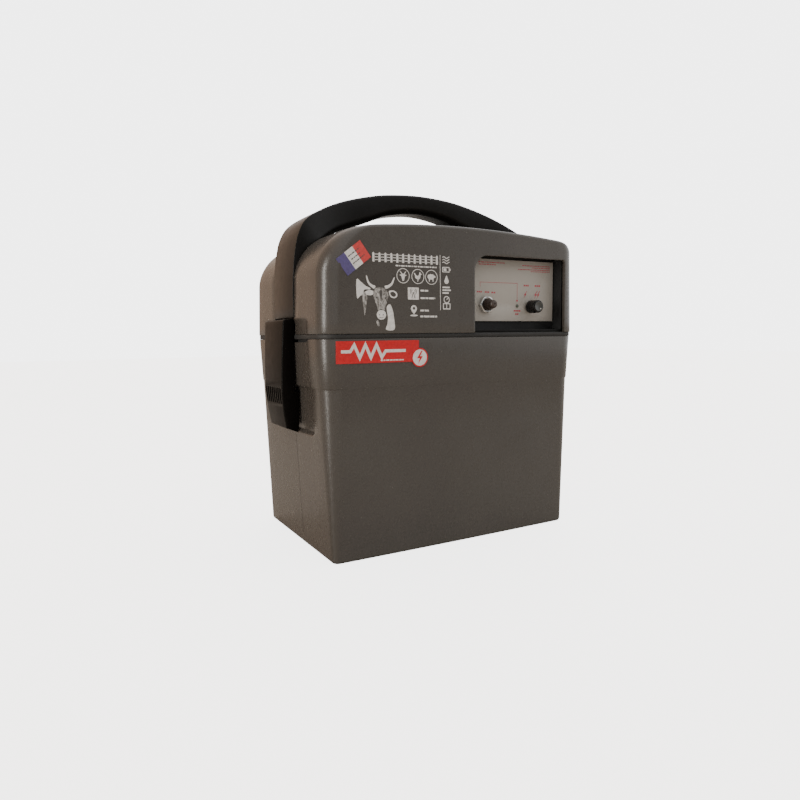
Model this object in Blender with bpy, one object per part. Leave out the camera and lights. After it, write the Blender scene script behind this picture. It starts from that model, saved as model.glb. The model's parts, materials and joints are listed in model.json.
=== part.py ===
"""Battery fence energizer: a plastic battery tub, a lift-off lid that holds the pulse generator,
a carrying handle set into the lid, two side latches, a recessed control panel and rear terminals.

Sizes below are in millimetres and become metres when a mesh is made. The origin is the middle
of the tub's underside: +X to the right of the control panel's user, +Y to the back, +Z up.
"""
import math

import bmesh
import bpy
from mathutils import Vector

MM = 0.001
GAP = 0.3                     # clearance between touching pieces
WALL = 3.0                    # moulded wall thickness
FLATNESS = 0.01               # cubic mm that a flat quad's corners may span
FOOT_Z = 3.0                  # the unit's foot, on the drawing datum that heights start from

# Tub
TUB_FLOOR_HALF = (126.0, 84.6)
TUB_RIDGE_HALF = (132.6, 89.0)
TUB_TOP_HALF = (134.75, 91.0)
TUB_HEIGHT = 190.3
RIDGE_Z = 149.3
RIDGE_STEP = 0.5
TUB_CORNER = 16.0             # corner radius from the ridge up, and of the lid
TUB_FOOT_CORNER = 6.0
FLOOR_THICK = 3.6
FLOOR_EDGE = 3.0              # height over which the wall curves in under the tub
WALL_BOW = 1.0                # outward crown of the long walls
POCKET_DEPTH = 3.0            # side pocket behind each latch
POCKET_EDGES = (52.0, 60.0)   # where the pocket's side slope starts and ends
POCKET_Z = (108.0, 112.0)
SHALLOW_POCKET = 0.8
SIDE_POINTS = 6               # points from the middle of a side to well round its corner
RIM_NOTCH = 2.4               # the tub's rim is lower inside the pocket

# Lid
LID_Z = 194.2
LID_CROWN_Z = 281.0           # height of the top surface before it is arched
LID_ARCH = 5.3
LID_ARCH_REACH = (100.0, 115.0)    # left and right distances at which the arch is level
LID_LEFT_RADIUS = 38.0
LID_RIGHT_RADIUS = 9.5
LID_SHOULDER_HALF = 133.4
LID_EDGE_RADIUS = 2.5
CHANNEL_HALF = 26.5
CHANNEL_X = 125.1
CHANNEL_FLOOR_Z = 262.0
CHANNEL_RADIUS = 22.0

# Front notch and the control tray behind it
NOTCH_X = (11.5, 118.2)
NOTCH_TOP = 263.0
NOTCH_RADIUS = 15.0
TRAY_X = (8.0, 119.6)
TRAY_Y = (-86.6, -72.4)
TRAY_Z = (195.0, 266.5)
TRAY_BACK_Y = -74.9
PLATE_X = (10.3, 116.3)
PLATE_Y = (-76.2, -75.2)
PLATE_Z = (205.0, 262.0)
TOGGLE_AT = (34.0, 220.0)
TOGGLE_PIVOT_Y = -80.5
LED_AT = (71.5, 219.4)
KNOB_AT = (86.2, 218.6)
KNOB_PIVOT_Y = -84.0

# Rear terminals
REAR_POCKET_X = 48.0
REAR_POCKET_Z = (205.0, 248.0)
REAR_POCKET_Y = 66.0
TERMINAL_X = 21.0
TERMINAL_Z = 224.0

# Handle
ARM_BOTTOM_Z = 195.0
ARM_RECESS_X = 131.0
ARM_RECESS_TOP = 209.1
HANDLE_SCREW_Z = 225.0
HANDLE_SCREW_TIP_X = 130.6

# Latches
PIVOT = (138.6, 202.7)
LATCH_TOP = 208.2
LATCH_STEP_Z = 145.0
LATCH_TOP_WALL = 2.4
PIN_RADIUS = 1.5
HOOK_HALF = 13.0
LUG_HALF = 9.0                # half width of the arm's ear between the latch's cheeks

# Stickers
STICKER_LIFT = (0.3, 0.6)     # a sticker's back and front, measured out from the wall
BADGE_X = (-122.8, -47.0)
BADGE_Z = (170.3, 188.5)
CORNER_STICKER = ((-106.4, 254.2), (26.0, 16.0), 37.0)

# Lid base plate, battery
BASE_PLATE_Z = (196.5, 199.3)
BOSSES = ((-100.0, -74.0), (102.0, -62.0), (-100.0, 74.0), (102.0, 74.0))
BATTERY_HALF = (95.0, 62.5)
BATTERY_Z = (6.9, 153.9)
BOARD_Z = (205.5, 207.1)

COLOURS = {                   # colour, roughness, metallic
    "shell_grey": ((0.075, 0.065, 0.055), 0.45, 0.0),
    "black_plastic": ((0.02, 0.018, 0.017), 0.42, 0.0),
    "seal_rubber": ((0.012, 0.012, 0.012), 0.8, 0.0),
    "panel_grey": ((0.33, 0.30, 0.26), 0.5, 0.0),
    "chrome": ((0.75, 0.74, 0.72), 0.18, 1.0),
    "steel": ((0.55, 0.55, 0.54), 0.35, 1.0),
    "knob_black": ((0.01, 0.01, 0.01), 0.15, 0.0),
    "cap_grey": ((0.1, 0.1, 0.095), 0.3, 0.0),
    "led_green": ((0.05, 0.09, 0.05), 0.2, 0.0),
    "terminal_red": ((0.45, 0.02, 0.02), 0.35, 0.0),
    "terminal_green": ((0.02, 0.16, 0.06), 0.35, 0.0),
    "board_green": ((0.02, 0.12, 0.05), 0.5, 0.0),
    "copper": ((0.6, 0.25, 0.1), 0.35, 1.0),
    "core_iron": ((0.12, 0.12, 0.13), 0.5, 1.0),
    "capacitor_grey": ((0.5, 0.5, 0.48), 0.5, 0.0),
    "aluminium": ((0.7, 0.7, 0.7), 0.3, 1.0),
    "badge_red": ((0.55, 0.01, 0.015), 0.35, 0.0),
    "sticker_white": ((0.7, 0.7, 0.7), 0.35, 0.0),
    "battery_white": ((0.55, 0.55, 0.52), 0.5, 0.0),
    "battery_green": ((0.03, 0.2, 0.1), 0.5, 0.0),
    "lead_red": ((0.4, 0.02, 0.02), 0.5, 0.0),
    "lead_black": ((0.015, 0.015, 0.015), 0.5, 0.0),
}


# ---------------------------------------------------------------- basic tools

def clear_scene():
    for item in list(bpy.data.objects):
        bpy.data.objects.remove(item, do_unlink=True)


def material(name):
    found = bpy.data.materials.get(name)
    if found:
        return found
    colour, roughness, metallic = COLOURS[name]
    made = bpy.data.materials.new(name)
    made.use_nodes = True
    shader = made.node_tree.nodes["Principled BSDF"]
    shader.inputs["Base Color"].default_value = (*colour, 1.0)
    shader.inputs["Roughness"].default_value = roughness
    shader.inputs["Metallic"].default_value = metallic
    return made


def metres(point):
    """A drawing point in metres, with the foot at Z = 0."""
    return (Vector(point) - Vector((0, 0, FOOT_Z))) * MM


def make_object(name, shape, finish=None, origin=(0, 0, FOOT_Z), parent=None):
    """An object from (vertices, faces) in millimetres, with its origin at the given point."""
    vertices, faces = shape
    place = metres(origin)
    mesh = bpy.data.meshes.new(name)
    mesh.from_pydata([metres(v) - place for v in vertices], [], faces)
    working = bmesh.new()
    working.from_mesh(mesh)
    bmesh.ops.recalc_face_normals(working, faces=working.faces)
    working.to_mesh(mesh)
    working.free()
    mesh.shade_smooth()
    mesh.set_sharp_from_angle(angle=math.radians(32))
    made = bpy.data.objects.new(name, mesh)
    bpy.context.collection.objects.link(made)
    if finish:
        mesh.materials.append(material(finish))
    else:
        made.hide_render = True
        made.display_type = "WIRE"
    place_under(made, place, parent)
    return made


def place_under(item, place, parent):
    """Parents an item to an empty that has no rotation, keeping its world place."""
    item.location = place
    if parent:
        item.parent = parent
        item.location = place - world_place(parent)


def world_place(item):
    place = item.location.copy()
    while item.parent:
        item = item.parent
        place += item.location
    return place


def axis_empty(name, point, parent=None):
    made = bpy.data.objects.new(name, None)
    bpy.context.collection.objects.link(made)
    place_under(made, metres(point), parent)
    return made


def boolean(target, operation, *operands):
    for operand in operands:
        step = target.modifiers.new(operation.lower(), "BOOLEAN")
        step.operation = operation
        step.solver = "EXACT"
        step.object = operand


def cut(target, *cutters):
    boolean(target, "DIFFERENCE", *cutters)


def add(target, *pieces):
    boolean(target, "UNION", *pieces)


# ---------------------------------------------------------------- shapes, as (vertices, faces)

def loft(rings, loop=False, ladder=False):
    """Skins rings of equal length. A loop joins the last ring to the first, otherwise both ends
    get caps: flat ones, or ladders across outlines that start on their own line of symmetry."""
    count = len(rings[0])
    vertices = [point for ring in rings for point in ring]
    faces = []
    spans = len(rings) if loop else len(rings) - 1
    for k in range(spans):
        low = k * count
        high = ((k + 1) % len(rings)) * count
        for i in range(count):
            j = (i + 1) % count
            faces += flat_faces(vertices, (low + i, low + j, high + j, high + i))
    if not loop:
        for start in (0, (len(rings) - 1) * count):
            faces += ladder_cap(start, count) if ladder else [tuple(range(start, start + count))]
    return vertices, faces


def flat_faces(vertices, quad):
    """The quad itself where it is flat, otherwise its two triangles."""
    a, b, c, d = (Vector(vertices[i]) for i in quad)
    if abs((b - a).cross(d - a).dot(c - a)) < FLATNESS:
        return [quad]
    return [(quad[0], quad[1], quad[2]), (quad[0], quad[2], quad[3])]


def ladder_cap(start, count):
    """Strips between each point of a housing outline and its mirror image across Y = 0. The
    straight sides, whose points share one X, are each part of a single end face."""
    middle = count // 2
    faces = [tuple(start + i % count for i in range(-SIDE_POINTS, SIDE_POINTS + 1))]
    for i in range(SIDE_POINTS, middle - SIDE_POINTS):
        faces.append((start + i, start + i + 1, start + count - i - 1, start + count - i))
    faces.append(tuple(start + i for i in range(middle - SIDE_POINTS, middle + SIDE_POINTS + 1)))
    return faces


def box(low, high):
    (x0, y0, z0), (x1, y1, z1) = low, high
    rings = [[(x0, y0, z), (x1, y0, z), (x1, y1, z), (x0, y1, z)] for z in (z0, z1)]
    return loft(rings)


def arc(centre, radius, start, end, steps):
    """Points on a circle from one angle to another, in degrees."""
    points = []
    for i in range(steps + 1):
        angle = math.radians(start + (end - start) * i / steps)
        points.append((centre[0] + radius * math.cos(angle), centre[1] + radius * math.sin(angle)))
    return points


def extrude_y(outline, y0, y1):
    """A prism along Y from an outline of (x, z) points."""
    return loft([[(x, y, z) for x, z in outline] for y in (y0, y1)])


def turned(profile, axis, centre, segments=20, loop=False):
    """A body of revolution. Each profile entry is (distance along the axis, radius) and may end
    with True where the section is a hexagon, whose radius is then half its width across flats."""
    rings = []
    for along, radius, *hexagon in profile:
        ring = []
        for i in range(segments):
            angle = 2 * math.pi * i / segments
            reach = radius
            if hexagon:
                reach = radius / math.cos((angle % (math.pi / 3)) - math.pi / 6)
            u, v = reach * math.cos(angle), reach * math.sin(angle)
            if axis == "Y":
                ring.append((centre[0] + u, along, centre[1] + v))
            else:
                ring.append((centre[0] + u, centre[1] + v, along))
        rings.append(ring)
    return loft(rings, loop=loop)


def rounded_box(low, high, radius, steps=3):
    """A box whose upright edges are rounded."""
    (x0, y0, z0), (x1, y1, z1) = low, high
    outline = arc((x1 - radius, y1 - radius), radius, 0, 90, steps)
    outline += arc((x0 + radius, y1 - radius), radius, 90, 180, steps)
    outline += arc((x0 + radius, y0 + radius), radius, 180, 270, steps)
    outline += arc((x1 - radius, y0 + radius), radius, 270, 360, steps)
    return loft([[(x, y, z) for x, y in outline] for z in (z0, z1)])


def housing_outline(left, right, depth, radius, dent=0.0, bow=0.0, spans=8, steps=5):
    """The plan of the casing: a rounded rectangle that is symmetric across Y = 0 and starts at
    the middle of its left side. A dent moves the middle of both sides inward."""
    side = [0.0, 24.0, *POCKET_EDGES]
    half = [(-left + (dent if y < POCKET_EDGES[1] else 0.0), -y) for y in side]
    half += arc((-left + radius, -depth + radius), radius, 180, 270, steps)
    first, last = -left + radius, right - radius
    for i in range(1, spans):
        half.append((first + (last - first) * i / spans, -depth))
    half += arc((right - radius, -depth + radius), radius, 270, 360, steps)
    half += [(right - (dent if y < POCKET_EDGES[1] else 0.0), -y) for y in reversed(side)]
    half = [(x, crowned(x, y, left, depth, radius, bow)) for x, y in half]
    back = [(x, -y) for x, y in reversed(half[1:-1])]
    return half + back


def crowned(x, y, left, depth, radius, bow):
    """Draws a front point back towards the corners, so that the wall bows outward."""
    if bow == 0.0 or y > -depth + radius:
        return y
    return y + bow * (x / (left - radius)) ** 2


# ---------------------------------------------------------------- tub

def tub_half(z, inset):
    """Half width and half depth of the tub's outside at a height, less an inset."""
    if z <= RIDGE_Z:
        share = (z - FOOT_Z) / (RIDGE_Z - FOOT_Z)
        low, high = TUB_FLOOR_HALF, TUB_RIDGE_HALF
    else:
        share = (z - RIDGE_Z) / (TUB_HEIGHT - RIDGE_Z)
        low, high = [size + RIDGE_STEP for size in TUB_RIDGE_HALF], TUB_TOP_HALF
    return [a + (b - a) * share - inset for a, b in zip(low, high)]


def tub_corner(z):
    share = min(1.0, (z - FOOT_Z) / (RIDGE_Z - FOOT_Z))
    return TUB_FOOT_CORNER + (TUB_CORNER - TUB_FOOT_CORNER) * share


def tub_ring(z, inset=0.0, dent=0.0, notch=0.0):
    half_width, half_depth = tub_half(z, inset)
    radius = tub_corner(z) - min(inset, WALL)
    outline = housing_outline(half_width, half_width, half_depth, radius, dent, WALL_BOW, spans=6)
    ring = []
    for x, y in outline:
        lowered = notch if abs(y) < POCKET_EDGES[1] and abs(x) > half_width - radius else 0.0
        ring.append((x, y, z - lowered))
    return ring


def tub_rings():
    low, high = POCKET_Z
    outside = [
        tub_ring(FOOT_Z, FLOOR_EDGE * 0.7),
        tub_ring(FOOT_Z + FLOOR_EDGE * 0.3, FLOOR_EDGE * 0.25), tub_ring(FOOT_Z + FLOOR_EDGE),
        tub_ring(low), tub_ring(high, 0.0, POCKET_DEPTH),
        tub_ring(RIDGE_Z, 0.0, POCKET_DEPTH), tub_ring(RIDGE_Z + 0.9, 0.0, SHALLOW_POCKET),
        tub_ring(TUB_HEIGHT, 0.0, SHALLOW_POCKET, RIM_NOTCH)]
    inside = [
        tub_ring(TUB_HEIGHT, WALL, SHALLOW_POCKET, RIM_NOTCH),
        tub_ring(RIDGE_Z + 0.9, WALL, SHALLOW_POCKET), tub_ring(RIDGE_Z - 3, WALL, POCKET_DEPTH),
        tub_ring(high - 2, WALL, POCKET_DEPTH), tub_ring(low - 2, WALL),
        tub_ring(FOOT_Z + FLOOR_THICK, WALL + 0.5)]
    return outside + inside


def catch_bead(side):
    """The sloped bead on the pocket wall that a latch's hook snaps under."""
    wall, crest = 128.0, 132.2
    outline = [(wall - 1, 119.0), (wall, 121.3), (crest, 125.5), (crest, 126.5), (wall, 130.4),
               (wall - 1, 130.4)]
    return extrude_y([(side * x, z) for x, z in outline], -HOOK_HALF, HOOK_HALF)


def build_tub():
    tub = make_object("battery_tub", loft(tub_rings(), ladder=True), "shell_grey")
    beads = [make_object(f"bead_{side}", catch_bead(side)) for side in (-1, 1)]
    add(tub, *beads)
    return tub


def build_rim_seal():
    """A square-section rubber ring on the tub's rim, set a little back from the outside."""
    rings = []
    for z, inset in ((TUB_HEIGHT + GAP, 0.6), (LID_Z - GAP, 0.6), (LID_Z - GAP, 5.0),
                     (TUB_HEIGHT + GAP, 5.0)):
        half_width, half_depth = (size - inset for size in TUB_TOP_HALF)
        outline = housing_outline(half_width, half_width, half_depth, TUB_CORNER - inset, spans=6)
        rings.append([(x, y, z) for x, y in outline])
    return make_object("rim_seal", loft(rings, loop=True), "seal_rubber")


def build_battery():
    half_x, half_y = BATTERY_HALF
    low, high = BATTERY_Z
    make_object("battery_case", rounded_box((-half_x, -half_y, low), (half_x, half_y, high), 5),
                "battery_white")
    cover_z = (high + GAP, high + 8)
    make_object("battery_cover", rounded_box((-half_x + 1, -half_y + 1, cover_z[0]),
                                             (half_x - 1, half_y - 1, cover_z[1]), 5),
                "battery_green")
    foot = cover_z[1] + GAP
    for name, x in (("battery_positive_post", -45.0), ("battery_negative_post", 45.0)):
        profile = [(foot, 8.0), (foot + 1.5, 8.0), (foot + 1.5, 4.5), (foot + 9, 4.0)]
        make_object(name, turned(profile, "Z", (x, 0.0), 16), "steel")


# ---------------------------------------------------------------- stickers

def corner_y(x, half_width, half_depth, radius):
    """The front wall's Y at an X, which falls back round the corners."""
    past = max(0.0, abs(x) - (half_width - radius))
    return -half_depth + radius - math.sqrt(radius ** 2 - past ** 2)


def tub_front_y(x, z):
    half_width, half_depth = tub_half(z, 0.0)
    crown = WALL_BOW * (x / (half_width - TUB_CORNER)) ** 2
    return corner_y(x, half_width, half_depth, TUB_CORNER) + crown


def lid_front_y(x, z):
    half_width = lid_side(z, LID_SHOULDER_HALF, LID_LEFT_RADIUS, LID_CROWN_Z)
    return corner_y(x, half_width, lid_depth(z, LID_CROWN_Z), TUB_CORNER)


def sticker(centre, size, tilt, wall_y, columns=10, rows=3):
    """A thin solid that follows a front wall, from a rectangle turned in its own plane."""
    turn = math.radians(tilt)
    layers = []
    for lift in STICKER_LIFT:
        layer = []
        for j in range(rows + 1):
            for i in range(columns + 1):
                u = size[0] * (i / columns - 0.5)
                v = size[1] * (j / rows - 0.5)
                x = centre[0] + u * math.cos(turn) - v * math.sin(turn)
                z = centre[1] + u * math.sin(turn) + v * math.cos(turn)
                layer.append((x, wall_y(x, z) - lift, z))
        layers.append(layer)
    return sheet_solid(layers, columns + 1, rows + 1)


def sheet_solid(layers, wide, high):
    """Closes two grids of points into one thin solid."""
    vertices = layers[0] + layers[1]
    step = wide * high
    faces = []
    for base in (0, step):
        for j in range(high - 1):
            for i in range(wide - 1):
                a = base + j * wide + i
                faces += flat_faces(vertices, (a, a + 1, a + wide + 1, a + wide))
    rim = [i for i in range(wide)] + [j * wide + wide - 1 for j in range(1, high)]
    rim += [(high - 1) * wide + i for i in range(wide - 2, -1, -1)]
    rim += [j * wide for j in range(high - 2, 0, -1)]
    for a, b in zip(rim, rim[1:] + rim[:1]):
        faces += flat_faces(vertices, (a, b, b + step, a + step))
    return vertices, faces


def build_stickers(parent):
    centre = (sum(BADGE_X) / 2, sum(BADGE_Z) / 2)
    size = (BADGE_X[1] - BADGE_X[0], BADGE_Z[1] - BADGE_Z[0])
    make_object("front_badge", sticker(centre, size, 0.0, tub_front_y), "badge_red")
    make_object("corner_sticker", sticker(*CORNER_STICKER, lid_front_y), "sticker_white",
                parent=parent)


# ---------------------------------------------------------------- lid

def lid_side(z, shoulder, radius, crown):
    """Half width of one side of the lid at a height: slight draft, then a round shoulder."""
    arc_foot = crown - radius
    if z <= arc_foot:
        share = (z - LID_Z) / (arc_foot - LID_Z)
        return TUB_TOP_HALF[0] + (shoulder - TUB_TOP_HALF[0]) * share
    rise = min(1.0, (z - arc_foot) / radius)
    return shoulder - radius + radius * math.sqrt(1 - rise * rise)


def lid_depth(z, crown):
    depth = TUB_TOP_HALF[1] + 0.2 - 0.7 * (z - LID_Z) / (LID_CROWN_Z - LID_Z)
    edge_foot = crown - LID_EDGE_RADIUS
    if z <= edge_foot:
        return depth
    rise = min(1.0, (z - edge_foot) / LID_EDGE_RADIUS)
    return depth - LID_EDGE_RADIUS * (1 - math.sqrt(1 - rise * rise))


def lid_ring(z, inset=0.0, dent=0.0):
    """One level of the lid, arched in proportion to its height."""
    crown = LID_CROWN_Z
    left = lid_side(z, LID_SHOULDER_HALF, LID_LEFT_RADIUS, crown) - inset
    right = lid_side(z, LID_SHOULDER_HALF, LID_RIGHT_RADIUS, crown) - inset
    depth = lid_depth(z, crown) - inset
    share = (z - LID_Z) / (crown - LID_Z)
    blend = share * share * (3 - 2 * share)
    outline = housing_outline(left, right, depth, TUB_CORNER - inset, dent, spans=12)
    ring = []
    for x, y in outline:
        arch = LID_ARCH * (1 - (x / LID_ARCH_REACH[x > 0]) ** 2)
        ring.append((x, y, z + blend * arch - inset * share))
    return ring


def lid_levels():
    """Heights of the lid's rings: two for the pocket, then closer together up the shoulders."""
    foot = LID_CROWN_Z - LID_LEFT_RADIUS
    angles = (0, 13, 26, 38, 49, 59, 68, 76, 83, 90)
    curve = [foot + LID_LEFT_RADIUS * math.sin(math.radians(angle)) for angle in angles]
    return [209.0, *curve]


def lid_body(inset):
    """The lid without its channel, as one solid body, less an inset."""
    start = LID_Z - (2.0 if inset else 0.0)
    rings = [[(x, y, start) for x, y, z in lid_ring(LID_Z, inset, SHALLOW_POCKET)]]
    rings.append(lid_ring(205.0, inset, SHALLOW_POCKET))
    rings += [lid_ring(z, inset) for z in lid_levels()]
    return loft(rings, ladder=True)


def channel(grow):
    """Everything outside the saddle that the handle straddles, between the two lobes."""
    side, floor = CHANNEL_X - grow, CHANNEL_FLOOR_Z - grow
    corner = (side - CHANNEL_RADIUS, floor - CHANNEL_RADIUS)
    saddle = [(side, 180.0)] + arc(corner, CHANNEL_RADIUS, 0, 90, 6)
    saddle += [(-x, z) for x, z in reversed(saddle)]
    outline = [(-160.0, 180.0), (-160.0, 300.0), (160.0, 300.0), (160.0, 180.0)] + saddle
    reach = CHANNEL_HALF + grow
    return extrude_y(outline, -reach, reach)


def notch_shape():
    """The opening in the lid's front wall, with one rounded corner, open at the rim."""
    left, right = NOTCH_X
    corner = (left + NOTCH_RADIUS, NOTCH_TOP - NOTCH_RADIUS)
    outline = [(left, 180.0), (right, 180.0)]
    outline += arc((right - 2, NOTCH_TOP - 2), 2.0, 0, 90, 2)
    outline += arc(corner, NOTCH_RADIUS, 90, 180, 5)
    return extrude_y(outline, -100.0, -84.0)


def rear_pocket(grow):
    low, high = REAR_POCKET_Z
    reach = REAR_POCKET_X + grow
    return rounded_box((-reach, REAR_POCKET_Y - grow, low - grow), (reach, 100.0, high + grow), 4)


def build_lid(parent):
    shell = make_object("lid_shell", lid_body(0.0), "shell_grey", parent=parent)
    hollow = make_object("lid_hollow", lid_body(WALL))
    cut(hollow, make_object("channel_walls", channel(WALL)),
        make_object("rear_pocket_walls", rear_pocket(2.5)))
    for number, (x, y) in enumerate(BOSSES, 1):
        boss = turned([(BASE_PLATE_Z[1] + GAP, 4.5), (300.0, 4.5)], "Z", (x, y), 16)
        cut(hollow, make_object(f"boss_{number}", boss))
    cut(shell, hollow, make_object("channel_cut", channel(0.0)),
        make_object("notch_cut", notch_shape()), make_object("rear_pocket_cut", rear_pocket(0.0)))
    for number, (x, y) in enumerate(BOSSES, 1):
        pilot = turned([(190.0, 1.9), (214.0, 1.9)], "Z", (x, y), 12)
        cut(shell, make_object(f"pilot_{number}", pilot))
    for side in (-1, 1):
        bore = turned([(REAR_POCKET_Y - 6, 3.2), (REAR_POCKET_Y + 3, 3.2)], "Y",
                      (side * TERMINAL_X, TERMINAL_Z), 16)
        hole = across_x(2.0, (side * (CHANNEL_X - 8), 0.0, HANDLE_SCREW_Z), side * 12)
        cut(shell, make_object(f"terminal_hole_{side}", bore),
            make_object(f"handle_hole_{side}", hole))


def across_x(radius, start, length, segments=12):
    """A cylinder along X."""
    x, y, z = start
    rings = []
    for end in (x, x + length):
        rings.append([(end, y + radius * math.cos(2 * math.pi * i / segments),
                       z + radius * math.sin(2 * math.pi * i / segments))
                      for i in range(segments)])
    return loft(rings)


def build_base_plate(parent):
    """The plate that closes the lid from below and carries the electronics."""
    low, high = BASE_PLATE_Z
    rings = []
    for z in (low, high):
        inset = WALL + 0.5 + SHALLOW_POCKET
        half_width, half_depth = (size - inset for size in TUB_TOP_HALF)
        outline = housing_outline(half_width, half_width, half_depth, TUB_CORNER - inset)
        rings.append([(x, y, z) for x, y in outline])
    plate = make_object("lid_base_plate", loft(rings, ladder=True), "black_plastic",
                        parent=parent)
    reach = CHANNEL_HALF + WALL + 0.4
    for side in (-1, 1):
        edge = sorted((side * (CHANNEL_X - WALL - 0.4), side * 150.0))
        cut(plate, make_object(f"arm_clearance_{side}",
                               box((edge[0], -reach, 190.0), (edge[1], reach, 205.0))))
    cut(plate, make_object("tray_clearance", box((TRAY_X[0] - 0.4, -100.0, 190.0),
                                                 (TRAY_X[1] + 0.4, TRAY_Y[1] + 0.4, 205.0))))
    for number, (x, y) in enumerate(BOSSES, 1):
        hole = turned([(190.0, 2.1), (204.0, 2.1)], "Z", (x, y), 12)
        cut(plate, make_object(f"plate_hole_{number}", hole))
    for x in (-88.0, 48.0):
        for y in (-32.0, 32.0):
            post = turned([(high - 1, 3.0), (BOARD_Z[0] - GAP, 3.0)], "Z", (x, y), 12)
            add(plate, make_object(f"standoff_{x}_{y}", post))


def build_base_screws(parent):
    for number, (x, y) in enumerate(BOSSES, 1):
        under = BASE_PLATE_Z[0] - GAP
        profile = [(under - 1.6, 2.0), (under - 1.6, 3.2), (under, 3.2), (under, 1.6),
                   (211.0, 1.6)]
        make_object(f"base_screw_{number}", turned(profile, "Z", (x, y), 12), "steel",
                    parent=parent)


# ---------------------------------------------------------------- handle

def handle_stations():
    """Half of the handle, from the foot of an arm to the middle of the grip. Each station has
    its outer point, its inner point, its half width outside and inside, and the sizes of its
    outer and inner corners."""
    return [
        ((134.7, ARM_BOTTOM_Z), (125.5, ARM_BOTTOM_Z), 26.2, 26.2, 0.4, 2.0),
        ((134.7, 232.0), (125.5, 232.0), 26.2, 26.2, 0.4, 2.0),
        ((133.6, 252.0), (125.2, 246.0), 26.2, 26.2, 0.4, 2.2),
        ((131.9, 266.0), (123.0, 256.0), 26.2, 26.0, 0.4, 2.8),
        ((129.6, 277.3), (118.4, 263.2), 26.2, 25.4, 0.5, 3.6),
        ((126.9, 284.2), (112.8, 268.8), 26.0, 24.6, 0.6, 4.6),
        ((122.6, 291.6), (106.4, 274.2), 25.2, 23.2, 0.8, 5.8),
        ((116.0, 297.6), (99.5, 279.3), 23.6, 21.0, 1.1, 6.8),
        ((107.0, 303.0), (90.5, 284.9), 21.2, 18.8, 1.5, 7.4),
        ((95.0, 308.9), (80.5, 289.2), 18.8, 17.0, 1.9, 7.6),
        ((79.0, 314.9), (68.5, 293.4), 17.0, 15.8, 2.2, 7.4),
        ((58.0, 320.6), (50.5, 299.8), 16.0, 15.2, 2.4, 7.0),
        ((34.0, 324.9), (30.5, 306.8), 15.6, 14.8, 2.4, 6.6),
        ((0.0, 327.0), (0.0, 310.4), 15.4, 14.6, 2.4, 6.6),
    ]


def handle_section(outer, inner, half_out, half_in, top, low, side):
    """An eight-sided section: corners are cut back, and most of all under the grip."""
    out, inn = Vector(outer), Vector(inner)
    across = (inn - out).normalized()
    marks = [(out, -half_out + top), (out, half_out - top), (out + across * top, half_out),
             (inn - across * low, half_in), (inn, half_in - low), (inn, -half_in + low),
             (inn - across * low, -half_in), (out + across * top, -half_out)]
    return [(side * point.x, y, point.y) for point, y in marks]


def arm_lug(side):
    """The rounded ear at the foot of an arm, which holds a latch's pin."""
    nose = arc(PIVOT, 2.9, -90, 90, 6)
    outline = [(ARM_RECESS_X - 2, PIVOT[1] - 2.9)] + nose + [(ARM_RECESS_X - 2, PIVOT[1] + 2.9)]
    return extrude_y([(side * x, z) for x, z in outline], -LUG_HALF, LUG_HALF)


def build_handle(parent):
    stations = handle_stations()
    rings = [handle_section(*station, 1) for station in stations]
    rings += [handle_section(*station, -1) for station in reversed(stations[:-1])]
    handle = make_object("handle", loft(rings), "black_plastic", parent=parent)
    for side in (-1, 1):
        recess = sorted((side * ARM_RECESS_X, side * 150.0))
        cut(handle, make_object(f"arm_recess_{side}",
                                box((recess[0], -40.0, 185.0), (recess[1], 40.0, ARM_RECESS_TOP))))
        add(handle, make_object(f"lug_{side}", arm_lug(side)))
        cut(handle, make_object(f"pin_bore_{side}", pin_shape(side, PIN_RADIUS + GAP, 12.0)),
            make_object(f"handle_bore_{side}",
                        across_x(1.7, (side * 120.0, 0.0, HANDLE_SCREW_Z), side * 11.5)))


def build_handle_screws(parent):
    """One screw in each arm, driven from inside the lid through the channel wall."""
    for name, side in (("handle_screw_left", -1), ("handle_screw_right", 1)):
        head_x = CHANNEL_X - WALL - GAP
        rings = []
        for x, radius in ((head_x - 2.4, 3.6), (head_x, 3.6), (head_x, 1.4),
                          (HANDLE_SCREW_TIP_X, 1.4)):
            rings.append([(side * x, y, z) for y, z in arc((0.0, HANDLE_SCREW_Z), radius,
                                                           0, 330, 11)])
        make_object(name, loft(rings), "steel", parent=parent)


# ---------------------------------------------------------------- latches

def pin_shape(side, radius, half_length, segments=12):
    return turned([(-half_length, radius), (half_length, radius)], "Y",
                  (side * PIVOT[0], PIVOT[1]), segments)


def latch_section(outer_x, inner_x, half, z, corner, lean, side):
    """A section of the latch: flat outside, with cut corners towards the cheeks. Its inner edge
    is higher than its outer face by the lean, or lower where the lean is negative."""
    points = [(inner_x, -half), (outer_x - corner, -half), (outer_x, -half + corner),
              (outer_x, half - corner), (outer_x - corner, half), (inner_x, half)]
    depth = outer_x - inner_x
    return [(side * x, y, z + lean * (outer_x - x) / depth) for x, y in points]


def latch_levels():
    """Outer face, inner edge, half width, height, corner size and lean, from the bottom up."""
    return [
        (142.6, 131.8, 22.0, 112.0, 1.0, -4.4), (143.4, 130.7, 22.3, 117.0, 1.4, 0.0),
        (144.9, 130.7, 22.9, 126.0, 1.4, 0.0), (146.2, 131.1, 23.5, 138.0, 1.4, 0.0),
        (146.7, 131.4, 24.0, LATCH_STEP_Z - 0.8, 1.4, 0.0),
        (146.7, 134.6, 24.1, LATCH_STEP_Z, 1.4, 0.0), (146.2, 134.9, 25.0, 170.0, 1.4, 0.0),
        (144.9, 134.6, 25.7, 196.0, 1.4, 0.0), (144.3, 134.6, 25.9, LATCH_TOP - 2.2, 1.4, 0.0),
        (143.6, 134.6, 25.8, LATCH_TOP - 1.2, 1.4, 0.2),
        (142.4, 134.9, 25.4, LATCH_TOP - 0.6, 1.2, 0.6),
    ]


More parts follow.
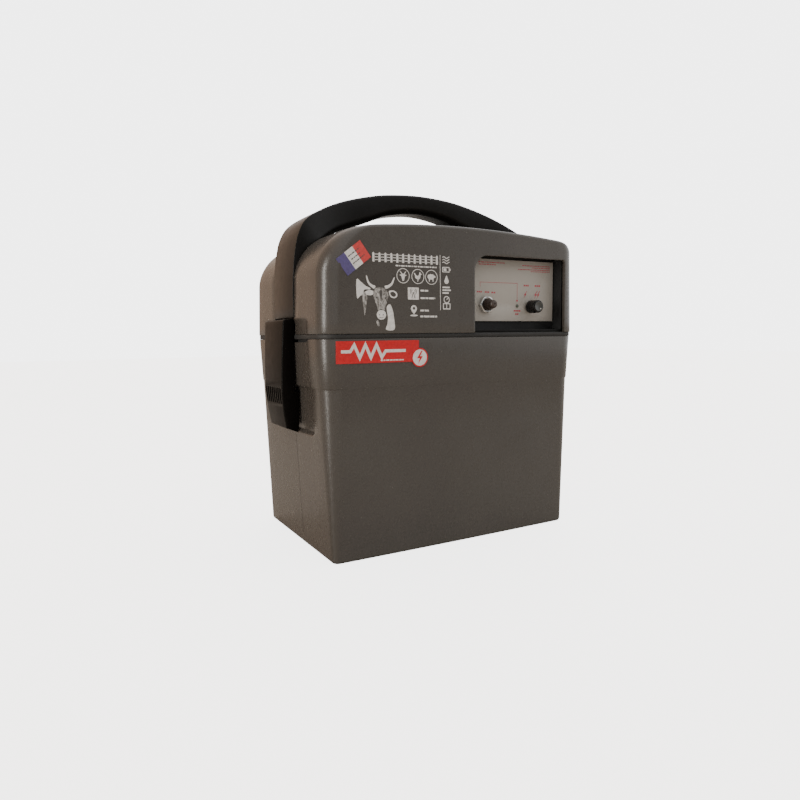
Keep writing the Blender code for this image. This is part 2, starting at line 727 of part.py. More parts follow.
def latch_hollow(side):
    """The space inside the latch, open towards the tub and at the bottom."""
    levels = [(139.0, 19.4, 100.0), (140.0, 19.6, 117.0), (143.4, 21.0, 145.0),
              (143.4, 22.0, 170.0), (142.1, 22.9, 196.0), (141.6, 22.9, LATCH_TOP - LATCH_TOP_WALL)]
    rings = [[(side * x, y, z) for x, y in ((125.0, -half), (outer, -half), (outer, half),
                                            (125.0, half))] for outer, half, z in levels]
    return loft(rings)


def ear_slot(side):
    """The slot in the latch's top edge that clears the arm's ear as the latch swings out."""
    outline = [(125.0, LATCH_TOP - 3.0), (141.0, LATCH_TOP - 3.0), (141.0, LATCH_TOP + 2.0),
               (125.0, LATCH_TOP + 2.0)]
    reach = LUG_HALF + 0.6
    return extrude_y([(side * x, z) for x, z in outline], -reach, reach)


def latch_hook(side):
    """The hook across the inside of the latch; its sloped top sits under the tub's bead."""
    outline = [(130.4, 122.4), (134.6, 126.6), (147.0, 126.6), (147.0, 118.8), (131.4, 118.8),
               (130.4, 120.0)]
    return extrude_y([(side * x, z) for x, z in outline], -HOOK_HALF + 1, HOOK_HALF - 1)


def build_latch(name, side, lid_axis):
    pivot = (side * PIVOT[0], 0.0, PIVOT[1])
    axis = axis_empty(f"{name}_axis", pivot, lid_axis)
    rings = [latch_section(*level, side) for level in latch_levels()]
    latch = make_object(name, loft(rings), "black_plastic", pivot, axis)
    hollow = make_object(f"{name}_hollow", latch_hollow(side))
    cut(hollow, make_object(f"{name}_hook", latch_hook(side)))
    cut(latch, hollow, make_object(f"{name}_slot", ear_slot(side)),
        make_object(f"{name}_bore", pin_shape(side, PIN_RADIUS + GAP, 24.9)))
    make_object(f"{name}_pin", pin_shape(side, PIN_RADIUS, 24.5), "steel", pivot, axis)


# ---------------------------------------------------------------- control panel

def panel_bore(name, at, radius):
    return make_object(name, turned([(-80.0, radius), (-70.0, radius)], "Y", at, 16))


def build_control_tray(parent):
    tray = make_object("control_tray", box((TRAY_X[0], TRAY_Y[0], TRAY_Z[0]),
                                           (TRAY_X[1], TRAY_Y[1], TRAY_Z[1])),
                       "black_plastic", parent=parent)
    cut(tray, make_object("tray_pocket", box((TRAY_X[0] + 2, -100.0, TRAY_Z[0] + 2),
                                             (TRAY_X[1] - 2, TRAY_BACK_Y, TRAY_Z[1] - 2))))
    plate = make_object("control_plate", box((PLATE_X[0], PLATE_Y[0], PLATE_Z[0]),
                                             (PLATE_X[1], PLATE_Y[1], PLATE_Z[1])),
                        "panel_grey", parent=parent)
    for name, at, radius in (("toggle", TOGGLE_AT, 3.6), ("led", LED_AT, 1.8),
                             ("knob", KNOB_AT, 3.8)):
        cut(tray, panel_bore(f"{name}_tray_hole", at, radius))
        cut(plate, panel_bore(f"{name}_plate_hole", at, radius))
    make_object("indicator_led", turned([(-68.0, 1.5), (-76.6, 1.5), (-77.3, 1.2), (-77.6, 0.6)],
                                        "Y", LED_AT, 14), "led_green", parent=parent)


def switch_body(name, at, half, depth, bushing, bore, parent):
    """A panel switch: a box behind the tray with a bored bushing that comes through it."""
    x, z = at
    front = TRAY_Y[1] + GAP
    body = make_object(name, box((x - half[0], front, z - half[1]),
                                 (x + half[0], front + depth, z + half[1])),
                       "black_plastic", parent=parent)
    add(body, make_object(f"{name}_bushing", turned([(front + 1, bushing[0]),
                                                     (bushing[1], bushing[0])], "Y", at, 16)))
    cut(body, make_object(f"{name}_bore", turned([(front + 3, bore), (-90.0, bore)],
                                                 "Y", at, 16)))


def build_toggle(parent):
    switch_body("toggle_switch_body", TOGGLE_AT, (6.5, 10.0), 16.0, (3.3, -77.6), 2.6, parent)
    nut = [(-76.5, 7.05, True), (-80.1, 7.05, True), (-80.4, 6.7, True), (-80.4, 5.9),
           (-77.9, 5.9), (-77.9, 3.6), (-76.5, 3.6)]
    make_object("toggle_nut", turned(nut, "Y", TOGGLE_AT, 24, loop=True), "chrome",
                parent=parent)
    pivot = (TOGGLE_AT[0], TOGGLE_PIVOT_Y, TOGGLE_AT[1])
    axis = axis_empty("toggle_axis", pivot, parent)
    ball = 5.6
    under = TOGGLE_PIVOT_Y + 1.0
    boot = [(under, 1.7), (under, math.sqrt(ball ** 2 - 1.0)), (TOGGLE_PIVOT_Y, ball),
            (TOGGLE_PIVOT_Y - 1.2, ball * 0.975), (-85.2, 4.5), (-85.5, 4.2), (-88.8, 3.6),
            (-90.0, 3.1), (-90.6, 2.0), (-90.6, 0.4), (-88.3, 0.4), (-88.3, 1.7)]
    make_object("toggle_boot", turned(boot, "Y", TOGGLE_AT, 20, loop=True), "seal_rubber",
                pivot, axis)
    lever = [(-75.6, 0.6), (-76.0, 1.2), (-87.6, 1.2), (-88.0, 0.6)]
    make_object("toggle_lever", turned(lever, "Y", TOGGLE_AT, 12), "steel", pivot, axis)


def build_power_control(parent):
    switch_body("power_switch_body", KNOB_AT, (9.0, 9.0), 12.0, (3.5, -77.8), 2.3, parent)
    nut = [(-76.5, 5.0, True), (-78.0, 5.0, True), (-78.0, 3.8), (-76.5, 3.8)]
    make_object("power_switch_nut", turned(nut, "Y", KNOB_AT, 18, loop=True), "chrome",
                parent=parent)
    pivot = (KNOB_AT[0], KNOB_PIVOT_Y, KNOB_AT[1])
    axis = axis_empty("power_knob_axis", pivot, parent)
    make_object("power_knob_shaft", turned([(-71.0, 2.0), (-86.6, 2.0)], "Y", KNOB_AT, 16),
                "steel", pivot, axis)
    knob = [(-78.4, 2.3), (-78.4, 6.2), (-89.5, 6.0), (-90.2, 5.4), (-90.2, 4.8), (-89.6, 4.8),
            (-89.6, 0.4), (-87.0, 0.4), (-87.0, 2.3)]
    make_object("power_knob", turned(knob, "Y", KNOB_AT, 24, loop=True), "knob_black",
                pivot, axis)
    cap = [(-89.9, 4.5), (-90.3, 4.5), (-90.5, 4.1)]
    make_object("power_knob_cap", turned(cap, "Y", KNOB_AT, 24), "cap_grey", pivot, axis)


# ---------------------------------------------------------------- rear terminals

def knob_profile(y0, y1, radius):
    return [(y0, 3.2), (y0, radius - 1.2), (y0 + 1.2, radius), (y1 - 1.6, radius),
            (y1, radius - 1.8), (y1, 3.2)]


def build_terminal(label, x, finish, parent):
    at = (x, TERMINAL_Z)
    back = REAR_POCKET_Y
    post = [(back - 12.0, 2.4), (back - 11.4, 2.9), (back + 19.4, 2.9), (back + 20.0, 2.4)]
    make_object(f"{label}_post", turned(post, "Y", at, 14), "steel", parent=parent)
    washer = [(back + GAP, 3.2), (back + GAP, 8.0), (back + 1.6, 8.0), (back + 1.6, 3.2)]
    make_object(f"{label}_washer", turned(washer, "Y", at, 18, loop=True), "steel",
                parent=parent)
    nut = [(back - 6.0, 3.2), (back - 6.0, 5.0, True), (back - 2.8, 5.0, True),
           (back - 2.8, 3.2)]
    make_object(f"{label}_nut", turned(nut, "Y", at, 18, loop=True), "steel", parent=parent)
    pivot = (x, back + 11.0, TERMINAL_Z)
    axis = axis_empty(f"{label}_knob_axis", pivot, parent)
    make_object(f"{label}_knob", turned(knob_profile(back + 4.6, back + 17.0, 9.5), "Y", at, 24,
                                        loop=True), finish, pivot, axis)


# ---------------------------------------------------------------- electronics in the lid

def build_board(parent):
    low, high = BOARD_Z
    make_object("circuit_board", box((-95.0, -40.0, low), (55.0, 40.0, high)), "board_green",
                parent=parent)


def build_transformer(parent, top):
    """An E-shaped iron core with its winding round the middle leg."""
    x, y, z = -62.0, 0.0, top + GAP
    core = make_object("transformer_core", box((x - 22, y - 9, z), (x + 22, y + 9, z + 38)),
                       "core_iron", parent=parent)
    for side in (-1, 1):
        edge = sorted((x + side * 6.5, x + side * 16.0))
        cut(core, make_object(f"core_window_{side}", box((edge[0], y - 20, z + 6.5),
                                                         (edge[1], y + 20, z + 31.5))))
    coil = make_object("transformer_coil", rounded_box((x - 15.6, y - 18, z + 6.9),
                                                       (x + 15.6, y + 18, z + 31.1), 5),
                       "copper", parent=parent)
    cut(coil, make_object("coil_window", box((x - 6.9, y - 9.4, z), (x + 6.9, y + 9.4, z + 40))))


def build_board_parts(parent, top):
    z = top + GAP
    make_object("storage_capacitor", rounded_box((-30.0, -14.0, z), (14.0, 12.0, z + 32), 3),
                "capacitor_grey", parent=parent)
    sink = make_object("heat_sink", box((26.0, -30.0, z), (42.0, -6.0, z + 26)), "aluminium",
                       parent=parent)
    for k in range(4):
        y = -27.0 + 5.5 * k
        cut(sink, make_object(f"fin_gap_{k}", box((29.0, y, z - 1), (50.0, y + 2.6, z + 30))))
    make_object("thyristor", box((21.4, -23.0, z), (25.7, -13.0, z + 16)), "seal_rubber",
                parent=parent)
    make_object("fuse", turned([(10.0, 2.6), (30.0, 2.6)], "Y", (34.0, z + 4.0), 12), "chrome",
                parent=parent)
    make_object("radio_module", box((-90.0, 22.0, z), (-66.0, 38.0, z + 3.2)), "aluminium",
                parent=parent)
    make_object("antenna", turned([(z, 1.6), (z + 42, 1.6)], "Z", (-60.0, 34.0), 10),
                "seal_rubber", parent=parent)
    make_object("buzzer", turned([(z, 6.0), (z + 8.0, 6.0), (z + 8.5, 5.4)], "Z",
                                 (-30.0, -28.0), 20), "seal_rubber", parent=parent)


# ---------------------------------------------------------------- battery leads

def smooth_path(points, per_span=5):
    """A Catmull-Rom curve through the route's own points."""
    ends = [2 * points[0] - points[1], *points, 2 * points[-1] - points[-2]]
    path = []
    for a, b, c, d in zip(ends, ends[1:], ends[2:], ends[3:]):
        for i in range(per_span):
            t = i / per_span
            path.append(0.5 * (2 * b + (c - a) * t + (2 * a - 5 * b + 4 * c - d) * t * t
                               + (3 * b - a - 3 * c + d) * t ** 3))
    return path + [points[-1]]


def build_lead(name, side, finish):
    """A battery lead with slack: up from its post, out and back, then into the lid's plate."""
    route = [(45, 0, 172.0), (45, -2, 177.0), (46, -14, 180.5), (47, -36, 181.0),
             (53, -46, 181.0), (60, -38, 182.0), (61, -14, 184.5), (61, 2, 188.5), (61, 5, 196.0)]
    points = smooth_path([Vector((side * x, y, z)) for x, y, z in route])
    curve = bpy.data.curves.new(name, "CURVE")
    curve.dimensions = "3D"
    curve.bevel_depth = 1.6 * MM
    curve.bevel_resolution = 2
    curve.use_fill_caps = True
    curve.render_resolution_u = 0
    spline = curve.splines.new("POLY")
    spline.points.add(len(points) - 1)
    for slot, point in zip(spline.points, points):
        slot.co = (*metres(point), 1.0)
    curve.materials.append(material(finish))
    lead = bpy.data.objects.new(name, curve)
    bpy.context.collection.objects.link(lead)


def main():
    clear_scene()
    lid_axis = axis_empty("lid_lift_axis", (0, 0, LID_Z))
    build_tub()
    build_rim_seal()
    build_battery()
    build_lead("battery_lead_positive", -1, "lead_red")
    build_lead("battery_lead_negative", 1, "lead_black")
    build_stickers(lid_axis)
    build_lid(lid_axis)
    build_base_plate(lid_axis)
    build_base_screws(lid_axis)
    build_handle(lid_axis)
    build_handle_screws(lid_axis)
    build_latch("left_latch", -1, lid_axis)
    build_latch("right_latch", 1, lid_axis)
    build_control_tray(lid_axis)
    build_toggle(lid_axis)
    build_power_control(lid_axis)
    build_terminal("fence_terminal", -TERMINAL_X, "terminal_red", lid_axis)
    build_terminal("earth_terminal", TERMINAL_X, "terminal_green", lid_axis)
    build_board(lid_axis)
    build_transformer(lid_axis, BOARD_Z[1])
    build_board_parts(lid_axis, BOARD_Z[1])


main()
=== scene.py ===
"""Looks of the fence energizer: finer shells, handle, latches, controls, terminals and prints
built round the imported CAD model. Local sizes are in millimetres, with heights from the same
drawing datum as the CAD model's.
"""
import itertools
import json
import math

import bmesh
import bpy
from mathutils import Matrix, Vector


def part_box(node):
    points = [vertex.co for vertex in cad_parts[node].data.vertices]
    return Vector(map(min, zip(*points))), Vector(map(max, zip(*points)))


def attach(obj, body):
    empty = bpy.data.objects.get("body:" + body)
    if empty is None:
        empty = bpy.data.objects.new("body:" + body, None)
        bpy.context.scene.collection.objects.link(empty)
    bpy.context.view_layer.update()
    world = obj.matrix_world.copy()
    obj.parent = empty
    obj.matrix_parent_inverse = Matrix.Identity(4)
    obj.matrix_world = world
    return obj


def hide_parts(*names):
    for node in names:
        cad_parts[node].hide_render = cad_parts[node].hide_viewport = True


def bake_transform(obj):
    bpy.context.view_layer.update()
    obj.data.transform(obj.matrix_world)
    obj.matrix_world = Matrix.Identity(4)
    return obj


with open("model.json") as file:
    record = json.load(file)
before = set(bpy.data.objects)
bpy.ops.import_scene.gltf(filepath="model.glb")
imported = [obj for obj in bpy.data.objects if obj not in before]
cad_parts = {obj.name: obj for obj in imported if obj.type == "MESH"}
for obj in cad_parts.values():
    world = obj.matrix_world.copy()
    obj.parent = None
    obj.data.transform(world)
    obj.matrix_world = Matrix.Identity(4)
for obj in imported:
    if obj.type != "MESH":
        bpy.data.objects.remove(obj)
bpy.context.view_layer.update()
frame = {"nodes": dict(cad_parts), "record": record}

MM = 0.001
FOOT_Z = 3.0                  # the unit's foot, on the drawing datum
DATUM = Vector((0.0, 0.0, FOOT_Z))


def box_mm(node):
    """A CAD node's lowest and highest corners, in millimetres from the datum."""
    low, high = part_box(node)
    return Vector(low) / MM + DATUM, Vector(high) / MM + DATUM


def middle_mm(node):
    low, high = box_mm(node)
    return (low + high) / 2


def metres(point):
    return (Vector(point) - DATUM) * MM


# ---------------------------------------------------------------- sizes read from the frame

TUB_HIGH = box_mm("battery_tub")[1]
LID_LOW, LID_HIGH = box_mm("lid_shell")
TRAY_LOW, TRAY_HIGH = box_mm("control_tray")
PLATE_LOW, PLATE_HIGH = box_mm("control_plate")
TOGGLE = middle_mm("toggle_nut")
KNOB = middle_mm("power_knob")
LED = middle_mm("indicator_led")
FENCE_POST = middle_mm("fence_terminal_post")
EARTH_POST = middle_mm("earth_terminal_post")
PIN = middle_mm("right_latch_pin")

# Tub and lid shape, in the CAD model's own terms
WALL = 3.0
TUB_FLOOR_HALF = (126.0, 84.6)
TUB_RIDGE_HALF = (132.6, 89.0)
TUB_TOP_HALF = (TUB_HIGH.x, TUB_HIGH.y)
TUB_HEIGHT = TUB_HIGH.z
RIDGE_Z = 149.3
RIDGE_STEP = 0.5
CORNER = 16.0
FOOT_CORNER = 6.0
FLOOR_EDGE = 3.0
FLOOR_EDGE_SLANT = 0.7        # the foot's rounding, across against up
FLOOR_THICK = 3.6
WALL_BOW = 1.0
POCKET_DEPTH = 3.0
SHALLOW_POCKET = 0.8
POCKET_FLAT = 52.0
POCKET_EDGE = 60.0
POCKET_Z = (108.0, 112.0)
RIM_NOTCH = 2.4
MOULD_LINE_Y = -13.0
MOULD_LINE_Z = (13.0, 105.0)
LID_Z = LID_LOW.z
LID_CROWN_Z = 281.0
LID_PLAIN_Z = 212.0           # above the side pockets' upper end
LID_ARCH = 5.3
LID_ARCH_REACH = (100.0, 115.0)    # left and right distances at which the arch is level
LID_LEFT_RADIUS = 38.0
LID_RIGHT_RADIUS = 9.5
LID_SHOULDER_HALF = 133.4
LID_EDGE_RADIUS = 2.5
CHANNEL_HALF = 26.5
CHANNEL_X = 125.1
CHANNEL_FLOOR_Z = 262.0
CHANNEL_RADIUS = 22.0
NOTCH_X = (11.5, 118.2)
NOTCH_TOP = 263.0
NOTCH_RADIUS = 15.0
REAR_X = 48.0
REAR_Z = (205.0, 248.0)
REAR_Y = 66.0
EDGE_BREAK = 0.5              # rounding of moulded edges
BEYOND = 150.0                # clear of either side, for cutters
SHARP_ANGLE = 32              # edges bent by more degrees than this aren't shaded smooth

ARC_STEPS = 12
FRONT_SPANS = 24
SIDE_STEPS = (0.0, 12.0, 24.0, 38.0, POCKET_FLAT, 54.0, 56.0, 58.0, POCKET_EDGE)
SIDE_POINTS = len(SIDE_STEPS) + 3


# ---------------------------------------------------------------- mesh tools

def make_piece(name, shape, finish=None, sharp=SHARP_ANGLE):
    """A closed mesh from (vertices, faces) in millimetres; without a finish it is a cutter."""
    vertices, faces = shape
    mesh = bpy.data.meshes.new(name)
    mesh.from_pydata([metres(v) for v in vertices], [], faces)
    working = bmesh.new()
    working.from_mesh(mesh)
    bmesh.ops.recalc_face_normals(working, faces=working.faces)
    working.to_mesh(mesh)
    working.free()
    mesh.shade_smooth()
    mesh.set_sharp_from_angle(angle=math.radians(sharp))
    piece = bpy.data.objects.new(name, mesh)
    bpy.context.collection.objects.link(piece)
    if finish:
        mesh.materials.append(finish)
    return piece


def evaluated_mesh(piece):
    graph = bpy.context.evaluated_depsgraph_get()
    graph.update()
    return bpy.data.meshes.new_from_object(piece.evaluated_get(graph))


def carve(target, operation, operands):
    """Runs Booleans one after another, keeps the result and removes the operands."""
    for operand in operands:
        step = target.modifiers.new("carve", "BOOLEAN")
        step.operation = operation
        step.solver = "EXACT"
        step.object = operand
    mesh = evaluated_mesh(target)
    target.modifiers.clear()
    target.data = mesh
    for operand in operands:
        bpy.data.objects.remove(operand, do_unlink=True)


def soften(piece, width, angle=35):
    """Rounds a piece's sharp edges and smooths its shading."""
    working = bmesh.new()
    working.from_mesh(piece.data)
    bmesh.ops.remove_doubles(working, verts=working.verts, dist=0.00002)
    bmesh.ops.dissolve_degenerate(working, edges=working.edges, dist=0.00002)
    working.to_mesh(piece.data)
    working.free()
    step = piece.modifiers.new("soften", "BEVEL")
    step.width = width * MM
    step.segments = 2
    step.limit_method = "ANGLE"
    step.angle_limit = math.radians(angle)
    step.use_clamp_overlap = True
    mesh = evaluated_mesh(piece)
    piece.modifiers.clear()
    piece.data = mesh
    mesh.shade_smooth()
    mesh.set_sharp_from_angle(angle=math.radians(SHARP_ANGLE))


def finish_piece(piece, body, slot, *nodes):
    """Puts a piece on its body, in place of CAD nodes; its slot is not used."""
    if nodes:
        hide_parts(*nodes)
    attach(piece, body)
    return piece


def placed(name, shape, body, slot, *nodes, sharp=SHARP_ANGLE):
    """A piece that needs no further cutting, in its slot's finish."""
    return finish_piece(make_piece(name, shape, FINISHES[slot], sharp), body, slot, *nodes)


def flat_faces(vertices, quad):
    a, b, c, d = (Vector(vertices[i]) for i in quad)
    if abs((b - a).cross(d - a).dot(c - a)) < 0.0005:
        return [quad]
    return [(quad[0], quad[1], quad[2]), (quad[0], quad[2], quad[3])]


def loft(rings, loop=False, ladder=False):
    """Skins rings of equal length; the ends get flat caps, or ladders across housing plans."""
    count = len(rings[0])
    vertices = [point for ring in rings for point in ring]
    faces = []
    for k in range(len(rings) if loop else len(rings) - 1):
        low, high = k * count, ((k + 1) % len(rings)) * count
        for i in range(count):
            j = (i + 1) % count
            faces += flat_faces(vertices, (low + i, low + j, high + j, high + i))
    if not loop:
        for start in (0, (len(rings) - 1) * count):
            faces += ladder_cap(start, count) if ladder else [tuple(range(start, start + count))]
    return vertices, faces


def ladder_cap(start, count):
    """Strips between each point of a housing plan and its mirror image across Y = 0."""
    middle = count // 2
    faces = [tuple(start + i % count for i in range(-SIDE_POINTS, SIDE_POINTS + 1))]
    for i in range(SIDE_POINTS, middle - SIDE_POINTS):
        faces.append((start + i, start + i + 1, start + count - i - 1, start + count - i))
    faces.append(tuple(start + i for i in range(middle - SIDE_POINTS, middle + SIDE_POINTS + 1)))
    return faces


def block(low, high):
    (x0, y0, z0), (x1, y1, z1) = low, high
    return loft([[(x0, y0, z), (x1, y0, z), (x1, y1, z), (x0, y1, z)] for z in (z0, z1)])


def arc(centre, radius, start, end, steps):
    points = []
    for i in range(steps + 1):
        angle = math.radians(start + (end - start) * i / steps)
        points.append((centre[0] + radius * math.cos(angle), centre[1] + radius * math.sin(angle)))
    return points


def extrude_y(outline, y0, y1):
    return loft([[(x, y, z) for x, z in outline] for y in (y0, y1)])


def turned(profile, axis, centre, segments=48, loop=False):
    """A body of revolution from (distance along the axis, radius) entries. An entry may add a
    function that turns its radius and an angle into the reach there."""
    rings = []
    for along, radius, *shape in profile:
        ring = []
        for i in range(segments):
            angle = 2 * math.pi * i / segments
            reach = shape[0](radius, angle) if shape else radius
            u, v = reach * math.cos(angle), reach * math.sin(angle)
            if axis == "Y":
                ring.append((centre[0] + u, along, centre[1] + v))
            else:
                ring.append((centre[0] + u, centre[1] + v, along))
        rings.append(ring)
    return loft(rings, loop=loop)


def between(a, b, c, d, t):
    """A point at share t of the Catmull-Rom curve from b to c."""
    return [0.5 * (2 * q + (r - p) * t + (2 * p - 5 * q + 4 * r - s) * t * t
                   + (3 * q - p - 3 * r + s) * t ** 3) for p, q, r, s in zip(a, b, c, d)]


def spline(rows, per_span):
    """A Catmull-Rom curve through rows of numbers, with natural ends."""
    before = [2 * a - b for a, b in zip(rows[0], rows[1])]
    after = [2 * a - b for a, b in zip(rows[-1], rows[-2])]
    ends = [before, *rows, after]
    made = [between(*span, i / per_span) for span in zip(ends, ends[1:], ends[2:], ends[3:])
            for i in range(per_span)]
    return made + [list(rows[-1])]


# ---------------------------------------------------------------- materials

FINISHES = {}                 # every material, by its name


def new_material(name, colour, roughness, metallic=0.0):
    made = bpy.data.materials.new(name)
    made.use_nodes = True
    shader = made.node_tree.nodes["Principled BSDF"]
    shader.inputs["Base Color"].default_value = (*colour, 1.0)
    shader.inputs["Roughness"].default_value = roughness
    shader.inputs["Metallic"].default_value = metallic
    FINISHES[name] = made
    return made.node_tree, shader


def feed(tree, value, socket):
    """Links a node's output to a socket, or sets the socket to a plain value."""
    if isinstance(value, bpy.types.NodeSocket):
        tree.links.new(value, socket)
    else:
        socket.default_value = value


def node(tree, kind, **inputs):
    """A new shader node with its inputs fed by name."""
    made = tree.nodes.new(f"ShaderNode{kind}")
    for name, value in inputs.items():
        feed(tree, value, made.inputs[name.replace("_", " ")])
    return made


def calculated(tree, operation, *values):
    """The output of a Math node fed with values in order."""
    made = tree.nodes.new("ShaderNodeMath")
    made.operation = operation
    for value, socket in zip(values, made.inputs):
        feed(tree, value, socket)
    return made.outputs["Value"]


def object_coordinates(tree, stretch=(1, 1, 1)):
    place = node(tree, "TexCoord").outputs["Object"]
    return node(tree, "Mapping", Vector=place, Scale=stretch).outputs["Vector"]


def noise(tree, where, scale, detail=3.0, roughness=0.55):
    return node(tree, "TexNoise", Vector=where, Scale=scale, Detail=detail,
                Roughness=roughness).outputs["Fac"]


def ramp(tree, value, low, high, stops=(0.35, 0.65)):
    """A colour ramp between two colours, driven by a value."""
    made = node(tree, "ValToRGB", Fac=value)
    for stop, place, colour in zip(made.color_ramp.elements, stops, (low, high)):
        stop.position = place
        stop.color = (*colour, 1.0)
    return made.outputs["Color"]


def spread(tree, value, low, high):
    """Maps 0..1 to a range."""
    return node(tree, "MapRange", Value=value, To_Min=low, To_Max=high).outputs["Result"]


def bump(tree, shader, height, distance):
    made = node(tree, "Bump", Height=height, Distance=distance * MM, Strength=1.0)
    tree.links.new(made.outputs["Normal"], shader.inputs["Normal"])


def tint(colour, factor):
    return tuple(min(1.0, channel * factor) for channel in colour)


def moulded_plastic(name, colour, roughness, grain=900.0, depth=0.04, scuffs=0.0,
                    variation=0.1, shine=0.5):
    """Moulded plastic: a fine eroded grain, slow tone changes and light scuffs."""
    tree, shader = new_material(name, colour, roughness)
    shader.inputs["Specular IOR Level"].default_value = shine
    where = object_coordinates(tree)
    shade = ramp(tree, noise(tree, where, 9.0, 4.0), tint(colour, 1 - variation),
                 tint(colour, 1 + variation))
    if scuffs:
        streaks = noise(tree, object_coordinates(tree, (1.0, 1.0, 6.0)), 55.0, 6.0, 0.7)
        mask = ramp(tree, streaks, (0, 0, 0), (1, 1, 1), (0.62, 0.74))
        mix = node(tree, "Mix")
        mix.data_type = "RGBA"
        tree.links.new(calculated(tree, "MULTIPLY", mask, scuffs), mix.inputs["Factor"])
        tree.links.new(shade, mix.inputs["A"])
        mix.inputs["B"].default_value = (*tint(colour, 2.2), 1.0)
        shade = mix.outputs["Result"]
    tree.links.new(shade, shader.inputs["Base Color"])
    fine = noise(tree, where, 140.0, 5.0)
    tree.links.new(spread(tree, fine, roughness - 0.06, roughness + 0.08),
                   shader.inputs["Roughness"])
    bump(tree, shader, noise(tree, where, grain, 2.0, 0.6), depth)


def rubber(name, colour, roughness=0.7):
    tree, shader = new_material(name, colour, roughness)
    where = object_coordinates(tree)
    tree.links.new(ramp(tree, noise(tree, where, 60.0), tint(colour, 0.75), tint(colour, 1.3)),
                   shader.inputs["Base Color"])
    tree.links.new(spread(tree, noise(tree, where, 300.0), roughness - 0.1, roughness + 0.1),
                   shader.inputs["Roughness"])
    bump(tree, shader, noise(tree, where, 1500.0), 0.03)


def metal(name, colour, roughness, stretch=(1, 1, 1), depth=0.01):
    """Plated or drawn metal, with fine lines across its stretched direction."""
    tree, shader = new_material(name, colour, roughness, 1.0)
    where = object_coordinates(tree, stretch)
    tree.links.new(ramp(tree, noise(tree, where, 120.0, 4.0), tint(colour, 0.82), colour),
                   shader.inputs["Base Color"])
    tree.links.new(spread(tree, noise(tree, where, 500.0), roughness * 0.7, roughness * 1.5),
                   shader.inputs["Roughness"])
    bump(tree, shader, noise(tree, where, 900.0), depth)


def print_ink(name, colour, roughness=0.45):
    """Screen print: slightly uneven in density."""
    tree, shader = new_material(name, colour, roughness)
    where = object_coordinates(tree)
    patch = noise(tree, where, 420.0, 4.0)
    tree.links.new(ramp(tree, patch, tint(colour, 0.84), tint(colour, 1.06), (0.3, 0.6)),
                   shader.inputs["Base Color"])
    bump(tree, shader, noise(tree, where, 1400.0), 0.01)


def halftone(name, dark, light):
    """Print that breaks up into fine light and dark strokes."""
    tree, shader = new_material(name, light, 0.45)
    strokes = noise(tree, object_coordinates(tree, (1.0, 1.0, 0.45)), 620.0, 6.0, 0.75)
    tree.links.new(ramp(tree, strokes, dark, light, (0.42, 0.6)), shader.inputs["Base Color"])
    bump(tree, shader, strokes, 0.01)


def winding(name, colour):
    """Enamelled wire laid in turns."""
    tree, shader = new_material(name, colour, 0.3, 1.0)
    wave = node(tree, "TexWave", Vector=object_coordinates(tree), Scale=330.0, Distortion=0.6)
    wave.bands_direction = "Z"
    tree.links.new(ramp(tree, wave.outputs["Fac"], tint(colour, 0.35), colour, (0.1, 0.7)),
                   shader.inputs["Base Color"])
    bump(tree, shader, wave.outputs["Fac"], 0.25)


def circuit(name, colour):
    """Solder mask with the faint blocks of the copper below it."""
    tree, shader = new_material(name, colour, 0.35)
    cells = node(tree, "TexVoronoi", Vector=object_coordinates(tree), Scale=130.0)
    cells.distance = "CHEBYCHEV"
    tree.links.new(ramp(tree, cells.outputs["Distance"], tint(colour, 1.7), colour, (0.3, 0.36)),
                   shader.inputs["Base Color"])
    bump(tree, shader, cells.outputs["Distance"], 0.03)


